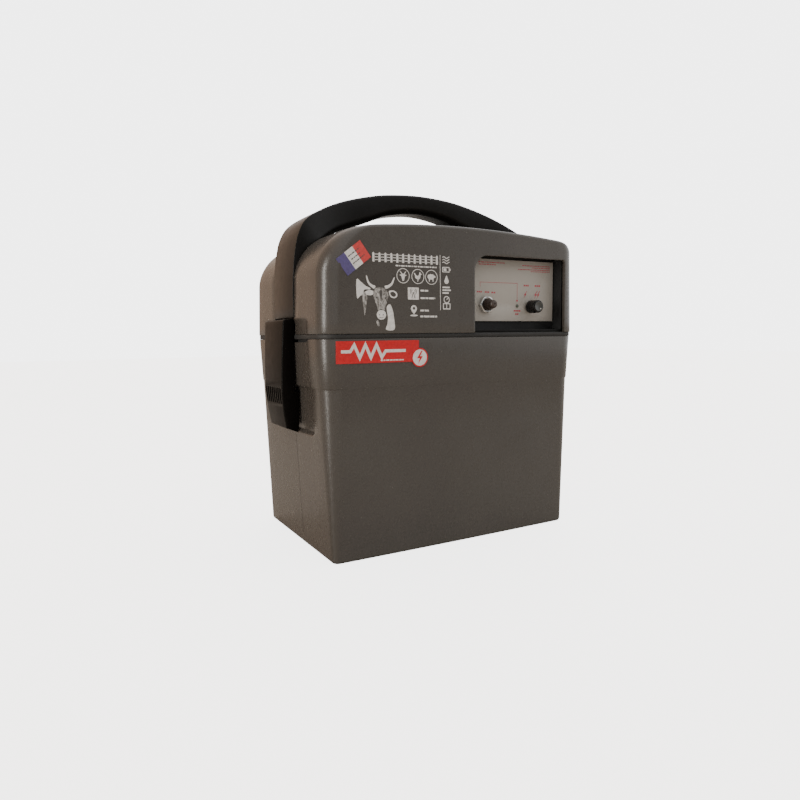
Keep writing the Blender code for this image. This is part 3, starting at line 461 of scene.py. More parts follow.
def make_finishes():
    moulded_plastic("shell_grey", (0.070, 0.0632, 0.0560), 0.27, depth=0.015, scuffs=0.05,
                    variation=0.07, shine=0.38)
    moulded_plastic("handle_black", (0.005, 0.0042, 0.0036), 0.34, depth=0.03, scuffs=0.04,
                    variation=0.14, shine=0.2)
    # The latches' black: a darker, less glossy copy of the handle's black, as painted shade for
    # their lower, dimmer place
    moulded_plastic("latch_black_shaded", (0.0045, 0.0036, 0.003), 0.36, depth=0.03, variation=0.14,
                    shine=0.06)
    moulded_plastic("inner_black", (0.005, 0.005, 0.005), 0.55, depth=0.05, variation=0.2,
                    shine=0.2)
    moulded_plastic("panel_grey", (0.41, 0.385, 0.345), 0.5, grain=1600.0, depth=0.015,
                    variation=0.05)
    moulded_plastic("led_green", (0.10, 0.12, 0.095), 0.15, depth=0.005)
    moulded_plastic("knob_black", (0.005, 0.005, 0.005), 0.16, depth=0.006, variation=0.2,
                    shine=0.25)
    moulded_plastic("knob_cap", (0.040, 0.042, 0.038), 0.3, depth=0.008)
    moulded_plastic("terminal_red", (0.42, 0.018, 0.016), 0.33, depth=0.02)
    moulded_plastic("terminal_green", (0.018, 0.15, 0.055), 0.33, depth=0.02)
    moulded_plastic("capacitor_grey", (0.45, 0.45, 0.42), 0.4)
    moulded_plastic("component_black", (0.014, 0.014, 0.014), 0.5)
    moulded_plastic("battery_white", (0.55, 0.54, 0.50), 0.45)
    moulded_plastic("battery_green", (0.025, 0.17, 0.08), 0.42)
    rubber("seal_rubber", (0.012, 0.011, 0.010))
    rubber("boot_rubber", (0.040, 0.026, 0.020), 0.45)
    rubber("lead_red", (0.40, 0.02, 0.02), 0.45)
    rubber("lead_black", (0.015, 0.015, 0.015), 0.45)
    metal("chrome", (0.66, 0.65, 0.63), 0.08)
    metal("steel", (0.60, 0.59, 0.57), 0.32, (1, 6, 1))
    metal("core_iron", (0.16, 0.16, 0.17), 0.5, (1, 40, 1), 0.05)
    metal("aluminium", (0.72, 0.72, 0.72), 0.3, (1, 1, 8))
    winding("copper", (0.62, 0.25, 0.10))
    circuit("board_green", (0.012, 0.10, 0.04))
    print_ink("badge_red", (0.58, 0.008, 0.012), 0.32)
    print_ink("sticker_white", (0.72, 0.70, 0.67))
    print_ink("print_dark", (0.075, 0.068, 0.06))
    print_ink("print_red", (0.42, 0.055, 0.075))
    print_ink("stripe_blue", (0.085, 0.065, 0.19))
    print_ink("stripe_red", (0.58, 0.05, 0.045))
    halftone("print_halftone", (0.10, 0.09, 0.08), (0.55, 0.53, 0.50))


def dress_cad_nodes():
    """Every CAD node that stays gets its slot's material."""
    slots = {entry["node"]: entry["material_slot"] for entry in frame["record"]["subparts"]}
    for name, item in frame["nodes"].items():
        item.data.materials.clear()
        item.data.materials.append(FINISHES[slots[name]])


# ---------------------------------------------------------------- plans shared by tub and lid

def dent_share(y):
    """How much of a pocket's depth applies at a distance from the middle of a side."""
    past = (abs(y) - POCKET_FLAT) / (POCKET_EDGE - POCKET_FLAT)
    past = min(1.0, max(0.0, past))
    return 1 - past * past * (3 - 2 * past)


def housing_plan(left, right, depth, radius, dent=0.0, bow=0.0):
    """A rounded rectangle, symmetric across Y = 0, from the middle of its left side."""
    half = [(-left + dent * dent_share(y), -y) for y in SIDE_STEPS]
    half += arc((-left + radius, -depth + radius), radius, 180, 270, ARC_STEPS)
    first, last = -left + radius, right - radius
    for i in range(1, FRONT_SPANS):
        half.append((first + (last - first) * i / FRONT_SPANS, -depth))
    half += arc((right - radius, -depth + radius), radius, 270, 360, ARC_STEPS)
    half += [(right - dent * dent_share(y), -y) for y in reversed(SIDE_STEPS)]
    half = [(x, crowned(x, y, left, depth, radius, bow)) for x, y in half]
    return half + [(x, -y) for x, y in reversed(half[1:-1])]


def crowned(x, y, left, depth, radius, bow):
    if bow == 0.0 or y > -depth + radius:
        return y
    return y + bow * (x / (left - radius)) ** 2


# ---------------------------------------------------------------- tub

def tub_half(z, inset):
    if z <= RIDGE_Z:
        share = (z - FOOT_Z) / (RIDGE_Z - FOOT_Z)
        low, high = TUB_FLOOR_HALF, TUB_RIDGE_HALF
    else:
        share = (z - RIDGE_Z) / (TUB_HEIGHT - RIDGE_Z)
        low, high = [size + RIDGE_STEP for size in TUB_RIDGE_HALF], TUB_TOP_HALF
    return [a + (b - a) * share - inset for a, b in zip(low, high)]


def tub_corner(z):
    share = min(1.0, (z - FOOT_Z) / (RIDGE_Z - FOOT_Z))
    return FOOT_CORNER + (CORNER - FOOT_CORNER) * share


def tub_ring(z, inset=0.0, dent=0.0, notch=0.0):
    half_width, half_depth = tub_half(z, inset)
    radius = tub_corner(z) - min(inset, WALL)
    ring = []
    for x, y in housing_plan(half_width, half_width, half_depth, radius, dent, WALL_BOW):
        at_side = abs(x) > half_width - radius
        lowered = notch * dent_share(y) if at_side else 0.0
        ring.append((x, y, z - lowered))
    return ring


def mould_line(side):
    """A shallow upright groove below the latch's pocket."""
    rings = []
    for z in MOULD_LINE_Z:
        floor = tub_half(z, 0.3)[0]
        rings.append([(side * x, y, z) for x, y in (
            (floor, MOULD_LINE_Y - 0.3), (BEYOND, MOULD_LINE_Y - 0.3),
            (BEYOND, MOULD_LINE_Y + 0.3), (floor, MOULD_LINE_Y + 0.3))])
    return loft(rings)


def build_tub():
    low, high = POCKET_Z
    floor = FOOT_Z + FLOOR_THICK
    rings = []
    for i in range(7):
        angle = math.radians(15 * i)
        rings.append(tub_ring(FOOT_Z + FLOOR_EDGE * (1 - math.sin(angle)),
                              FLOOR_EDGE * FLOOR_EDGE_SLANT * (1 - math.cos(angle))))
    rings.reverse()
    outside = [(low - 1.0,), (low + 0.8, 0, POCKET_DEPTH * 0.2), (low + 2.6, 0, POCKET_DEPTH * 0.6),
               (high - 0.6, 0, POCKET_DEPTH * 0.92), (high + 1.5, 0, POCKET_DEPTH),
               (RIDGE_Z - 0.2, 0, POCKET_DEPTH), (RIDGE_Z + 0.3, 0.25, SHALLOW_POCKET + 0.3),
               (RIDGE_Z + 0.9, 0.0, SHALLOW_POCKET)]
    rim = [(TUB_HEIGHT - drop, inset, SHALLOW_POCKET, RIM_NOTCH)
           for drop, inset in ((0.7, 0), (0.2, 0.2), (0.0, 0.7), (0.0, WALL - 0.4), (0.5, WALL))]
    inside = [(RIDGE_Z + 0.9, WALL, SHALLOW_POCKET), (RIDGE_Z - 3, WALL, POCKET_DEPTH),
              (high - 2, WALL, POCKET_DEPTH), (low - 2, WALL), (floor + 2, WALL + 0.4),
              (floor, WALL + 2.4)]
    rings += [tub_ring(*level) for level in outside + rim + inside]
    tub = make_piece("tub_shell", loft(rings, ladder=True), FINISHES["shell_grey"])
    wall, crest, half = 128.0, 132.2, 13.0
    outline = [(wall - 1, 119.0), (wall, 121.3), (crest, 125.5), (crest, 126.5),
               (wall, 130.4), (wall - 1, 130.4)]
    beads = [make_piece(f"bead_{side}", extrude_y([(side * x, z) for x, z in outline],
                                                  -half, half)) for side in (-1, 1)]
    carve(tub, "UNION", beads)
    carve(tub, "DIFFERENCE", [make_piece(f"mould_line_{side}", mould_line(side))
                              for side in (-1, 1)])
    tub.data.shade_smooth()
    tub.data.set_sharp_from_angle(angle=math.radians(30))
    finish_piece(tub, "tub", "shell_grey", "battery_tub")


def build_seal():
    """The rubber ring in the seam, with a lip and a skirt behind the walls that keep light out."""
    low, high = TUB_HEIGHT + 0.06, LID_Z - 0.06
    lip, skirt = high + 0.6, low - 3.1
    profile = [(low, 0.9), (low + 0.3, 0.6), (high - 0.3, 0.6), (high, 0.9),
               (high, 4.1), (lip, 4.1), (lip, 5.0), (skirt, 5.0), (skirt, 4.1), (low, 4.1)]
    rings = []
    for z, inset in profile:
        half_width, half_depth = (size - inset for size in TUB_TOP_HALF)
        plan = housing_plan(half_width, half_width, half_depth, CORNER - inset)
        rings.append([(x, y, z) for x, y in plan])
    placed("seam_seal", loft(rings, loop=True), "tub", "seal_rubber", "rim_seal", sharp=60)


# ---------------------------------------------------------------- lid

def lid_side(z, radius):
    arc_foot = LID_CROWN_Z - radius
    if z <= arc_foot:
        share = (z - LID_Z) / (arc_foot - LID_Z)
        return TUB_TOP_HALF[0] + (LID_SHOULDER_HALF - TUB_TOP_HALF[0]) * share
    rise = min(1.0, (z - arc_foot) / radius)
    return LID_SHOULDER_HALF - radius + radius * math.sqrt(1 - rise * rise)


def lid_depth(z):
    depth = LID_HIGH.y - 0.7 * (z - LID_Z) / (LID_CROWN_Z - LID_Z)
    edge_foot = LID_CROWN_Z - LID_EDGE_RADIUS
    if z <= edge_foot:
        return depth
    rise = min(1.0, (z - edge_foot) / LID_EDGE_RADIUS)
    return depth - LID_EDGE_RADIUS * (1 - math.sqrt(1 - rise * rise))


def lid_ring(z, inset=0.0, dent=0.0):
    left = lid_side(z, LID_LEFT_RADIUS) - inset
    right = lid_side(z, LID_RIGHT_RADIUS) - inset
    share = (z - LID_Z) / (LID_CROWN_Z - LID_Z)
    blend = share * share * (3 - 2 * share)
    drop = min(inset, WALL) * share
    ring = []
    for x, y in housing_plan(left, right, lid_depth(z) - inset, CORNER - inset, dent):
        arch = LID_ARCH * (1 - (x / LID_ARCH_REACH[x > 0]) ** 2)
        ring.append((x, y, z + blend * arch - drop))
    return ring


def lid_levels():
    foot = LID_CROWN_Z - LID_LEFT_RADIUS
    steps = 18
    curve = [foot + LID_LEFT_RADIUS * math.sin(math.radians(90 * i / steps))
             for i in range(steps + 1)]
    edge = [LID_CROWN_Z - LID_RIGHT_RADIUS + LID_RIGHT_RADIUS * math.sin(math.radians(a))
            for a in (0, 15, 30, 45)]
    return sorted([LID_PLAIN_Z, *curve, *edge])


def lid_body(inset):
    """The lid without its channel, less an inset, with a broken edge at the rim."""
    if inset:
        rings = [[(x, y, LID_Z - 2.0) for x, y, z in lid_ring(LID_Z, inset, SHALLOW_POCKET)]]
    else:
        rings = [lid_ring(LID_Z + rise, edge, SHALLOW_POCKET)
                 for rise, edge in ((0, 0.6), (0.2, 0.2), (0.7, 0.0))]
    rings += [lid_ring(z, inset, SHALLOW_POCKET * share)
              for z, share in ((204.0, 1.0), (206.0, 0.7), (208.0, 0.2))]
    rings += [lid_ring(z, inset) for z in lid_levels()]
    return loft(rings, ladder=True)


def channel(grow):
    side, floor = CHANNEL_X - grow, CHANNEL_FLOOR_Z - grow
    corner = (side - CHANNEL_RADIUS, floor - CHANNEL_RADIUS)
    saddle = [(side, 180.0)] + arc(corner, CHANNEL_RADIUS, 0, 90, 14)
    saddle += [(-x, z) for x, z in reversed(saddle)]
    outline = [(-160.0, 180.0), (-160.0, 300.0), (160.0, 300.0), (160.0, 180.0)] + saddle
    reach = CHANNEL_HALF + grow
    return extrude_y(outline, -reach, reach)


def notch_shape():
    left, right = NOTCH_X
    corner = (left + NOTCH_RADIUS, NOTCH_TOP - NOTCH_RADIUS)
    outline = [(left, 180.0), (right, 180.0)]
    outline += arc((right - 2, NOTCH_TOP - 2), 2.0, 0, 90, 5)
    outline += arc(corner, NOTCH_RADIUS, 90, 180, 10)
    return extrude_y(outline, -100.0, -84.0)


def round_rect(x0, z0, x1, z1, radius, steps=5):
    points = arc((x1 - radius, z0 + radius), radius, -90, 0, steps)
    points += arc((x1 - radius, z1 - radius), radius, 0, 90, steps)
    points += arc((x0 + radius, z1 - radius), radius, 90, 180, steps)
    return points + arc((x0 + radius, z0 + radius), radius, 180, 270, steps)


def upright_box(low, high, radius):
    """A box with rounded edges along Y, whose outline starts at its upper right corner."""
    (x0, y0, z0), (x1, y1, z1) = low, high
    steps = 4
    outline = round_rect(x0, z0, x1, z1, radius, steps)
    return extrude_y(outline[steps + 1:] + outline[:steps + 1], y0, y1)


def rear_pocket(grow):
    reach = REAR_X + grow
    return upright_box((-reach, REAR_Y - grow, REAR_Z[0] - grow),
                       (reach, 100.0, REAR_Z[1] + grow), 4 + grow)


def build_lid():
    hollow = make_piece("lid_hollow", lid_body(WALL))
    carve(hollow, "DIFFERENCE", [make_piece("channel_walls", channel(WALL)),
                                 make_piece("rear_walls", rear_pocket(2.5))])
    lid = make_piece("lid_cover", lid_body(0.0), FINISHES["shell_grey"])
    holes = [make_piece(f"terminal_hole_{side}",
                        turned([(REAR_Y - 6, 3.3), (REAR_Y + 3, 3.3)], "Y", (post.x, post.z), 24))
             for side, post in ((-1, FENCE_POST), (1, EARTH_POST))]
    carve(lid, "DIFFERENCE", [hollow, make_piece("channel_cut", channel(0.0)),
                              make_piece("notch_cut", notch_shape()),
                              make_piece("rear_cut", rear_pocket(0.0)), *holes])
    soften(lid, EDGE_BREAK)
    finish_piece(lid, "lid", "shell_grey", "lid_shell")


# ---------------------------------------------------------------- handle

ARM_RECESS_X = 131.0
ARM_RECESS_TOP = 209.1
PIN_HOLE = 1.8
LUG_HALF = 9.0
LUG_RADIUS = 2.9
CREASE = 4                    # the station where the arm turns into the arch


def handle_stations():
    """Half of the handle, from the foot of an arm to the middle of the grip: outer point, inner
    point, half width outside and inside, outer and inner corner radius."""
    return [
        (134.7, 195.0, 125.5, 195.0, 26.2, 26.2, 0.5, 2.0),
        (134.7, 232.0, 125.5, 232.0, 26.2, 26.2, 0.5, 2.0),
        (133.6, 252.0, 125.2, 246.0, 26.2, 26.2, 0.5, 2.2),
        (131.9, 266.0, 123.0, 256.0, 26.2, 26.0, 0.5, 2.8),
        (129.6, 277.3, 118.4, 263.2, 26.2, 25.4, 0.5, 3.6),
        (126.9, 284.2, 112.8, 268.8, 26.0, 24.6, 0.6, 4.6),
        (122.6, 291.6, 106.4, 274.2, 25.2, 23.2, 0.8, 5.8),
        (116.0, 297.6, 99.5, 279.3, 23.6, 21.0, 1.1, 6.8),
        (107.0, 303.0, 90.5, 284.9, 21.2, 18.8, 1.5, 7.4),
        (95.0, 308.9, 80.5, 289.2, 18.8, 17.0, 1.9, 7.6),
        (79.0, 314.9, 68.5, 293.4, 17.0, 15.8, 2.2, 7.4),
        (58.0, 320.6, 50.5, 299.8, 16.0, 15.2, 2.4, 7.0),
        (34.0, 324.9, 30.5, 306.8, 15.6, 14.8, 2.4, 6.6),
        (0.0, 327.0, 0.0, 310.4, 15.4, 14.6, 2.4, 6.6),
    ]


def mirrored(row):
    return [-row[0], row[1], -row[2], *row[3:]]


def handle_rows():
    half = handle_stations()
    arm = spline(half[:CREASE + 1], 3)
    arch = half[CREASE:] + [mirrored(row) for row in reversed(half[CREASE:-1])]
    crossing = spline(arch, 6)
    return arm[:-1] + crossing + [mirrored(row) for row in reversed(arm[:-1])]


def handle_ring(row):
    """A section with round corners: small outside, large under the grip."""
    ox, oz, ix, iz, half_out, half_in, top, low = row
    depth = math.hypot(ix - ox, iz - oz)
    along = ((ix - ox) / depth, (iz - oz) / depth)
    marks = []
    for i in range(5):
        a = math.radians(90 * i / 4)
        marks.append((top * (1 - math.cos(a)), half_out - top + top * math.sin(a)))
    for i in range(10):
        a = math.radians(90 * i / 9)
        marks.append((depth - low + low * math.sin(a), half_in - low + low * math.cos(a)))
    marks += [(d, -y) for d, y in reversed(marks)]
    return [(ox + along[0] * d, y, oz + along[1] * d) for d, y in marks]


def pin_hole(name, side, half_length):
    return make_piece(name, turned([(-half_length, PIN_HOLE), (half_length, PIN_HOLE)], "Y",
                                   (side * PIN.x, PIN.z), 24))


def side_cutter(name, side, xs, ys, zs):
    """A box given for the right side, as a cutter on either side."""
    x0, x1 = sorted(side * x for x in xs)
    return make_piece(name, block((x0, ys[0], zs[0]), (x1, ys[1], zs[1])))


def build_handle():
    handle = make_piece("carrying_handle", loft([handle_ring(row) for row in handle_rows()]),
                        FINISHES["handle_black"])
    lugs, holes = [], []
    for side in (-1, 1):
        holes.append(side_cutter(f"arm_recess_{side}", side, (ARM_RECESS_X, BEYOND), (-40.0, 40.0),
                                 (185.0, ARM_RECESS_TOP)))
        nose = arc((PIN.x, PIN.z), LUG_RADIUS, -90, 90, 10)
        outline = [(ARM_RECESS_X - 2, PIN.z - LUG_RADIUS), *nose,
                   (ARM_RECESS_X - 2, PIN.z + LUG_RADIUS)]
        lugs.append(make_piece(f"lug_{side}", extrude_y([(side * x, z) for x, z in outline],
                                                       -LUG_HALF, LUG_HALF)))
    carve(handle, "DIFFERENCE", holes)
    carve(handle, "UNION", lugs)
    carve(handle, "DIFFERENCE", [pin_hole(f"lug_bore_{side}", side, 12.0) for side in (-1, 1)])
    soften(handle, 0.35, angle=50)
    finish_piece(handle, "lid", "handle_black", "handle")


# ---------------------------------------------------------------- latches

LATCH_TOP = 208.2
LATCH_STEP_Z = 145.0
HOOK_HALF = 13.0
RIB_COUNT = 8
RIB_PITCH = 5.5
RIB_Z = (133.5, 147.5)


def latch_levels():
    """Outer face, inner edge, half width, height, corner radius and lean, from the bottom up."""
    foot = [(142.6, 131.8, 22.0, 112.0, 1.0, -4.4), (143.4, 130.7, 22.3, 117.0, 1.4, 0.0),
            (144.9, 130.7, 22.9, 126.0, 1.4, 0.0), (146.2, 131.1, 23.5, 138.0, 1.4, 0.0),
            (146.7, 131.4, 24.0, LATCH_STEP_Z - 0.8, 1.4, 0.0)]
    head = [(146.7, 134.6, 24.1, LATCH_STEP_Z, 1.4, 0.0), (146.2, 134.9, 25.0, 170.0, 1.4, 0.0),
            (144.9, 134.6, 25.7, 196.0, 1.4, 0.0), (144.3, 134.6, 25.9, LATCH_TOP - 2.2, 1.4, 0.0)]
    crown = [(143.9, 134.6, 25.85, LATCH_TOP - 1.6, 1.4, 0.1),
             (143.2, 134.7, 25.7, LATCH_TOP - 1.1, 1.4, 0.3),
             (142.2, 134.9, 25.4, LATCH_TOP - 0.6, 1.2, 0.6)]
    return spline(foot, 3) + spline(head, 3) + crown


def latch_ring(level, side):
    outer, inner, half, z, corner, lean = level
    points = arc((outer - corner, half - corner), corner, 0, 90, 5)
    points = [(inner, -half), *[(x, -y) for x, y in reversed(points)], *points, (inner, half)]
    return [(side * x, y, z + lean * (outer - x) / (outer - inner)) for x, y in points]


def latch_hollow(side):
    levels = [(139.0, 19.4, 100.0), (140.0, 19.6, 117.0), (143.4, 21.0, 145.0),
              (143.4, 22.0, 170.0), (142.1, 22.9, 196.0), (141.6, 22.9, LATCH_TOP - 2.4)]
    return loft([[(side * x, y, z) for x, y in ((125.0, -half), (outer, -half), (outer, half),
                                                (125.0, half))] for outer, half, z in levels])


def build_latch(name, side):
    levels = latch_levels()
    # The cover takes the latches' darker copy of the handle black: painted shade
    latch = make_piece(f"{name}_cover", loft([latch_ring(level, side) for level in levels]),
                       FINISHES["latch_black_shaded"])
    hook = [(130.4, 122.4), (134.6, 126.6), (147.0, 126.6), (147.0, 118.8), (131.4, 118.8),
            (130.4, 120.0)]
    hollow = make_piece(f"{name}_hollow", latch_hollow(side))
    carve(hollow, "DIFFERENCE", [make_piece(f"{name}_hook", extrude_y(
        [(side * x, z) for x, z in hook], -HOOK_HALF + 1, HOOK_HALF - 1))])
    reach = LUG_HALF + 0.6
    cuts = [hollow, side_cutter(f"{name}_slot", side, (125.0, 141.0), (-reach, reach),
                                (LATCH_TOP - 3.0, LATCH_TOP + 2.0)),
            pin_hole(f"{name}_bore", side, 24.9)]
    for k in range(RIB_COUNT):
        y = RIB_PITCH * (k - (RIB_COUNT - 1) / 2)
        cuts.append(side_cutter(f"{name}_groove_{k}", side, (145.3, BEYOND), (y - 1.8, y + 1.8),
                                RIB_Z))
    carve(latch, "DIFFERENCE", cuts)
    soften(latch, 0.4, angle=50)
    finish_piece(latch, name, "handle_black", name)


# ---------------------------------------------------------------- control panel

def panel_holes(name, y0, y1):
    made = []
    for label, at, radius in (("toggle", TOGGLE, 3.6), ("led", LED, 1.8), ("knob", KNOB, 3.8)):
        made.append(make_piece(f"{name}_{label}", turned([(y0, radius), (y1, radius)], "Y",
                                                         (at.x, at.z), 32)))
    return made


def build_tray():
    tray = make_piece("recess_liner", block(TRAY_LOW, TRAY_HIGH), FINISHES["inner_black"])
    pocket = upright_box((TRAY_LOW.x + 2, -100.0, TRAY_LOW.z + 2),
                         (TRAY_HIGH.x - 2, TRAY_HIGH.y - 2.5, TRAY_HIGH.z - 2), 0.6)
    carve(tray, "DIFFERENCE", [make_piece("liner_pocket", pocket),
                               *panel_holes("liner", TRAY_HIGH.y - 6, TRAY_HIGH.y + 4)])
    soften(tray, 0.25, angle=50)
    finish_piece(tray, "lid", "inner_black", "control_tray")


def build_plate():
    plate = make_piece("front_plate", block(PLATE_LOW, PLATE_HIGH), FINISHES["panel_grey"])
    carve(plate, "DIFFERENCE", panel_holes("plate", PLATE_LOW.y - 3, PLATE_HIGH.y + 3))
    soften(plate, 0.15, angle=50)
    finish_piece(plate, "lid", "panel_grey", "control_plate")


def hexagon(limit):
    """The reach of a hexagon whose corners are cut by a cone at a limit."""
    return lambda flat, angle: min(limit, flat / math.cos((angle % (math.pi / 3)) - math.pi / 6))


def build_toggle():
    low, high = box_mm("toggle_nut")
    back, front = high.y, low.y
    flat, tip = 7.05, 8.14
    nut = [(back, flat, hexagon(7.5)), (back - 0.45, flat, hexagon(tip)),
           (front + 1.0, flat, hexagon(tip)), (front + 0.45, flat, hexagon(7.45)),
           (front + 0.25, 6.75), (front, 6.55), (front, 6.1), (front + 0.2, 5.9),
           (front + 2.5, 5.9), (front + 2.5, 3.6), (back, 3.6)]
    placed("toggle_hex_nut", turned(nut, "Y", (TOGGLE.x, TOGGLE.z), 72, True), "lid", "chrome",
           "toggle_nut", sharp=20)

    pivot = -80.5
    ball = 5.6
    boot = [(pivot + 1.0, 1.7)]
    for i in range(8):
        y = 1.0 - 3.0 * i / 7
        boot.append((pivot + y, math.sqrt(ball ** 2 - y * y)))
    boot += [(-83.4, 4.95), (-84.2, 4.65), (-84.9, 4.5), (-85.2, 4.42), (-85.35, 4.1),
             (-85.7, 4.02), (-87.4, 3.8), (-88.8, 3.62), (-89.5, 3.45), (-90.1, 3.0),
             (-90.45, 2.4), (-90.6, 1.7), (-90.6, 1.25), (-90.2, 0.9), (-90.1, 0.4),
             (-88.3, 0.4), (-88.3, 1.7)]
    placed("toggle_rubber_boot", turned(boot, "Y", (TOGGLE.x, TOGGLE.z), 48, True), "toggle",
           "boot_rubber", "toggle_boot", sharp=40)


def fluted(radius, angle):
    return radius - 0.28 * (0.5 + 0.5 * math.cos(20 * angle)) ** 2


def build_knob():
    at = (KNOB.x, KNOB.z)
    side = [(-78.4, 2.3), (-78.4, 5.7), (-78.6, 6.05), (-79.0, 6.2), (-80.6, 6.17)]
    grip = [(-80.9, 6.17, fluted), (-88.6, 6.03, fluted)]
    crown = [(-88.9, 6.02), (-89.5, 5.98), (-89.95, 5.75), (-90.15, 5.35), (-90.2, 5.0),
             (-90.05, 4.8), (-89.6, 4.8), (-89.6, 0.4), (-87.0, 0.4), (-87.0, 2.3)]
    placed("power_knob_skirt", turned(side + grip + crown, "Y", at, 160, True), "power_knob",
           "knob_black", "power_knob", sharp=40)
    cap = [(-89.9, 4.62), (-90.25, 4.62), (-90.4, 4.45), (-90.45, 4.2), (-90.3, 3.9),
           (-90.3, 0.02)]
    placed("power_knob_inlay", turned(cap, "Y", at, 64), "power_knob", "knob_cap",
           "power_knob_cap", sharp=40)
    # A small white dot at the lower right of the cap: a painted highlight, standing for a soft
    # light spot
    dot = turned([(-90.25, 0.6), (-90.44, 0.6), (-90.49, 0.45)], "Y", (at[0] + 2.5, at[1] - 2.1),
                 24)
    placed("power_knob_painted_highlight", dot, "power_knob", "sticker_white")


def build_led():
    at = (LED.x, LED.z)
    front = -76.6
    lens = [(-68.0, 1.5), (front, 1.5)]
    lens += [(front - 0.98 * math.sin(math.radians(a)), 1.5 * math.cos(math.radians(a)))
             for a in (15, 30, 45, 60, 75, 86)]
    placed("led_lens", turned(lens, "Y", at, 32), "lid", "led_green", "indicator_led")
    bezel = [(-76.22, 1.62), (-76.22, 2.0), (-76.35, 2.0), (-76.55, 1.85), (-76.55, 1.7),
             (-76.5, 1.62)]
    placed("led_bezel", turned(bezel, "Y", at, 32, True), "lid", "panel_grey")


# ---------------------------------------------------------------- rear terminals

def lobed(radius, angle):
    return radius - 0.9 * (0.5 + 0.5 * math.cos(10 * angle)) ** 3


def build_terminal(label, post, finish):
    at = (post.x, post.z)
    back = REAR_Y
    low, high = box_mm(f"{label}_post")
    rod = [(low.y, 2.2), (low.y + 0.5, 2.88)]
    pitch = 0.9
    for k in range(int((high.y - low.y - 1.6) / pitch)):
        y = low.y + 0.8 + pitch * k
        rod += [(y, 2.88), (y + pitch / 2, 2.5)]
    rod += [(high.y - 0.6, 2.88), (high.y, 2.2)]
    placed(f"{label}_stud", turned(rod, "Y", at, 28), "lid", "steel", f"{label}_post", sharp=25)
    washer = [(back + 0.3, 3.2), (back + 0.3, 7.8), (back + 0.5, 8.0), (back + 1.4, 8.0),
              (back + 1.6, 7.8), (back + 1.6, 3.2)]
    placed(f"{label}_disc", turned(washer, "Y", at, 48, True), "lid", "steel",
           f"{label}_washer", sharp=25)
    start = back + 4.6
    knob = [(start, 3.2), (start, 7.4), (start + 0.4, 7.9), (start + 1.2, 8.1),
            (start + 1.9, 9.3, lobed), (start + 2.6, 9.5, lobed), (start + 10.2, 9.5, lobed),
            (start + 11.2, 9.2, lobed), (start + 11.9, 8.3, lobed), (start + 12.4, 6.6),
            (start + 12.4, 5.2), (start + 11.9, 4.9), (start + 11.9, 3.6), (start + 11.4, 3.2)]
    placed(f"{label}_wing_knob", turned(knob, "Y", at, 120, True),
           f"{label.split('_')[0]}_knob", finish, f"{label}_knob", sharp=35)


# ---------------------------------------------------------------- prints and stickers

def rect(x0, z0, x1, z1):
    return [(x0, z0), (x1, z0), (x1, z1), (x0, z1)]


def disc(x, z, radius, steps=32):
    return arc((x, z), radius, 0, 360 - 360 / steps, steps - 1)


def stroke(points, width):
    """A line of even width through points, with mitred corners."""
    left, right = [], []
    for k, (x, z) in enumerate(points):
        before = points[max(0, k - 1)]
        after = points[min(len(points) - 1, k + 1)]
        first = Vector((x - before[0], z - before[1]))
        second = Vector((after[0] - x, after[1] - z))
        first = first.normalized() if first.length else second.normalized()
        second = second.normalized() if second.length else first
        middle = (first + second).normalized()
        normal = Vector((-middle.y, middle.x))
        reach = width / 2 / max(0.35, middle.dot(first))
        left.append((x + normal.x * reach, z + normal.y * reach))
        right.append((x - normal.x * reach, z - normal.y * reach))
    return left + right[::-1]


def smooth_loop(points, steps=4):
    """A closed smooth outline through its own points."""
    count = len(points)
    made = []
    for k in range(count):
        a, b, c, d = (points[(k + i) % count] for i in (-1, 0, 1, 2))
        for i in range(steps):
            made.append(tuple(between(a, b, c, d, i / steps)))
    return made


def turned_about(points, centre, degrees):
    turn = math.radians(degrees)
    made = []
    for u, v in points:
        made.append((centre[0] + u * math.cos(turn) - v * math.sin(turn),
                     centre[1] + u * math.sin(turn) + v * math.cos(turn)))
    return made


def moved(points, x, z, scale=1.0):
    return [(x + u * scale, z + v * scale) for u, v in points]


def leaning(points, x, z, scale):
    """Points moved and sheared to the right."""
    return moved([(0.8 * u + 0.3 * v, v) for u, v in points], x, z, scale)


def front_corner_y(x, half_width, half_depth, radius):
    past = max(0.0, abs(x) - (half_width - radius))
    return -half_depth + radius - math.sqrt(radius ** 2 - past ** 2)


def tub_front_y(x, z):
    half_width, half_depth = tub_half(z, 0.0)
    crown = WALL_BOW * (x / (half_width - CORNER)) ** 2
    return front_corner_y(x, half_width, half_depth, CORNER) + crown


def lid_front_y(x, z):
    return front_corner_y(x, lid_side(z, LID_LEFT_RADIUS), lid_depth(z), CORNER)


def plate_front_y(x, z):
    return PLATE_LOW.y


def sort_by(elements, key):
    """Sorts BMesh elements by any key; their own sort takes only numbers."""
    ranks = {item: rank for rank, item in enumerate(sorted(elements, key=key))}
    elements.sort(key=lambda item: ranks[item])


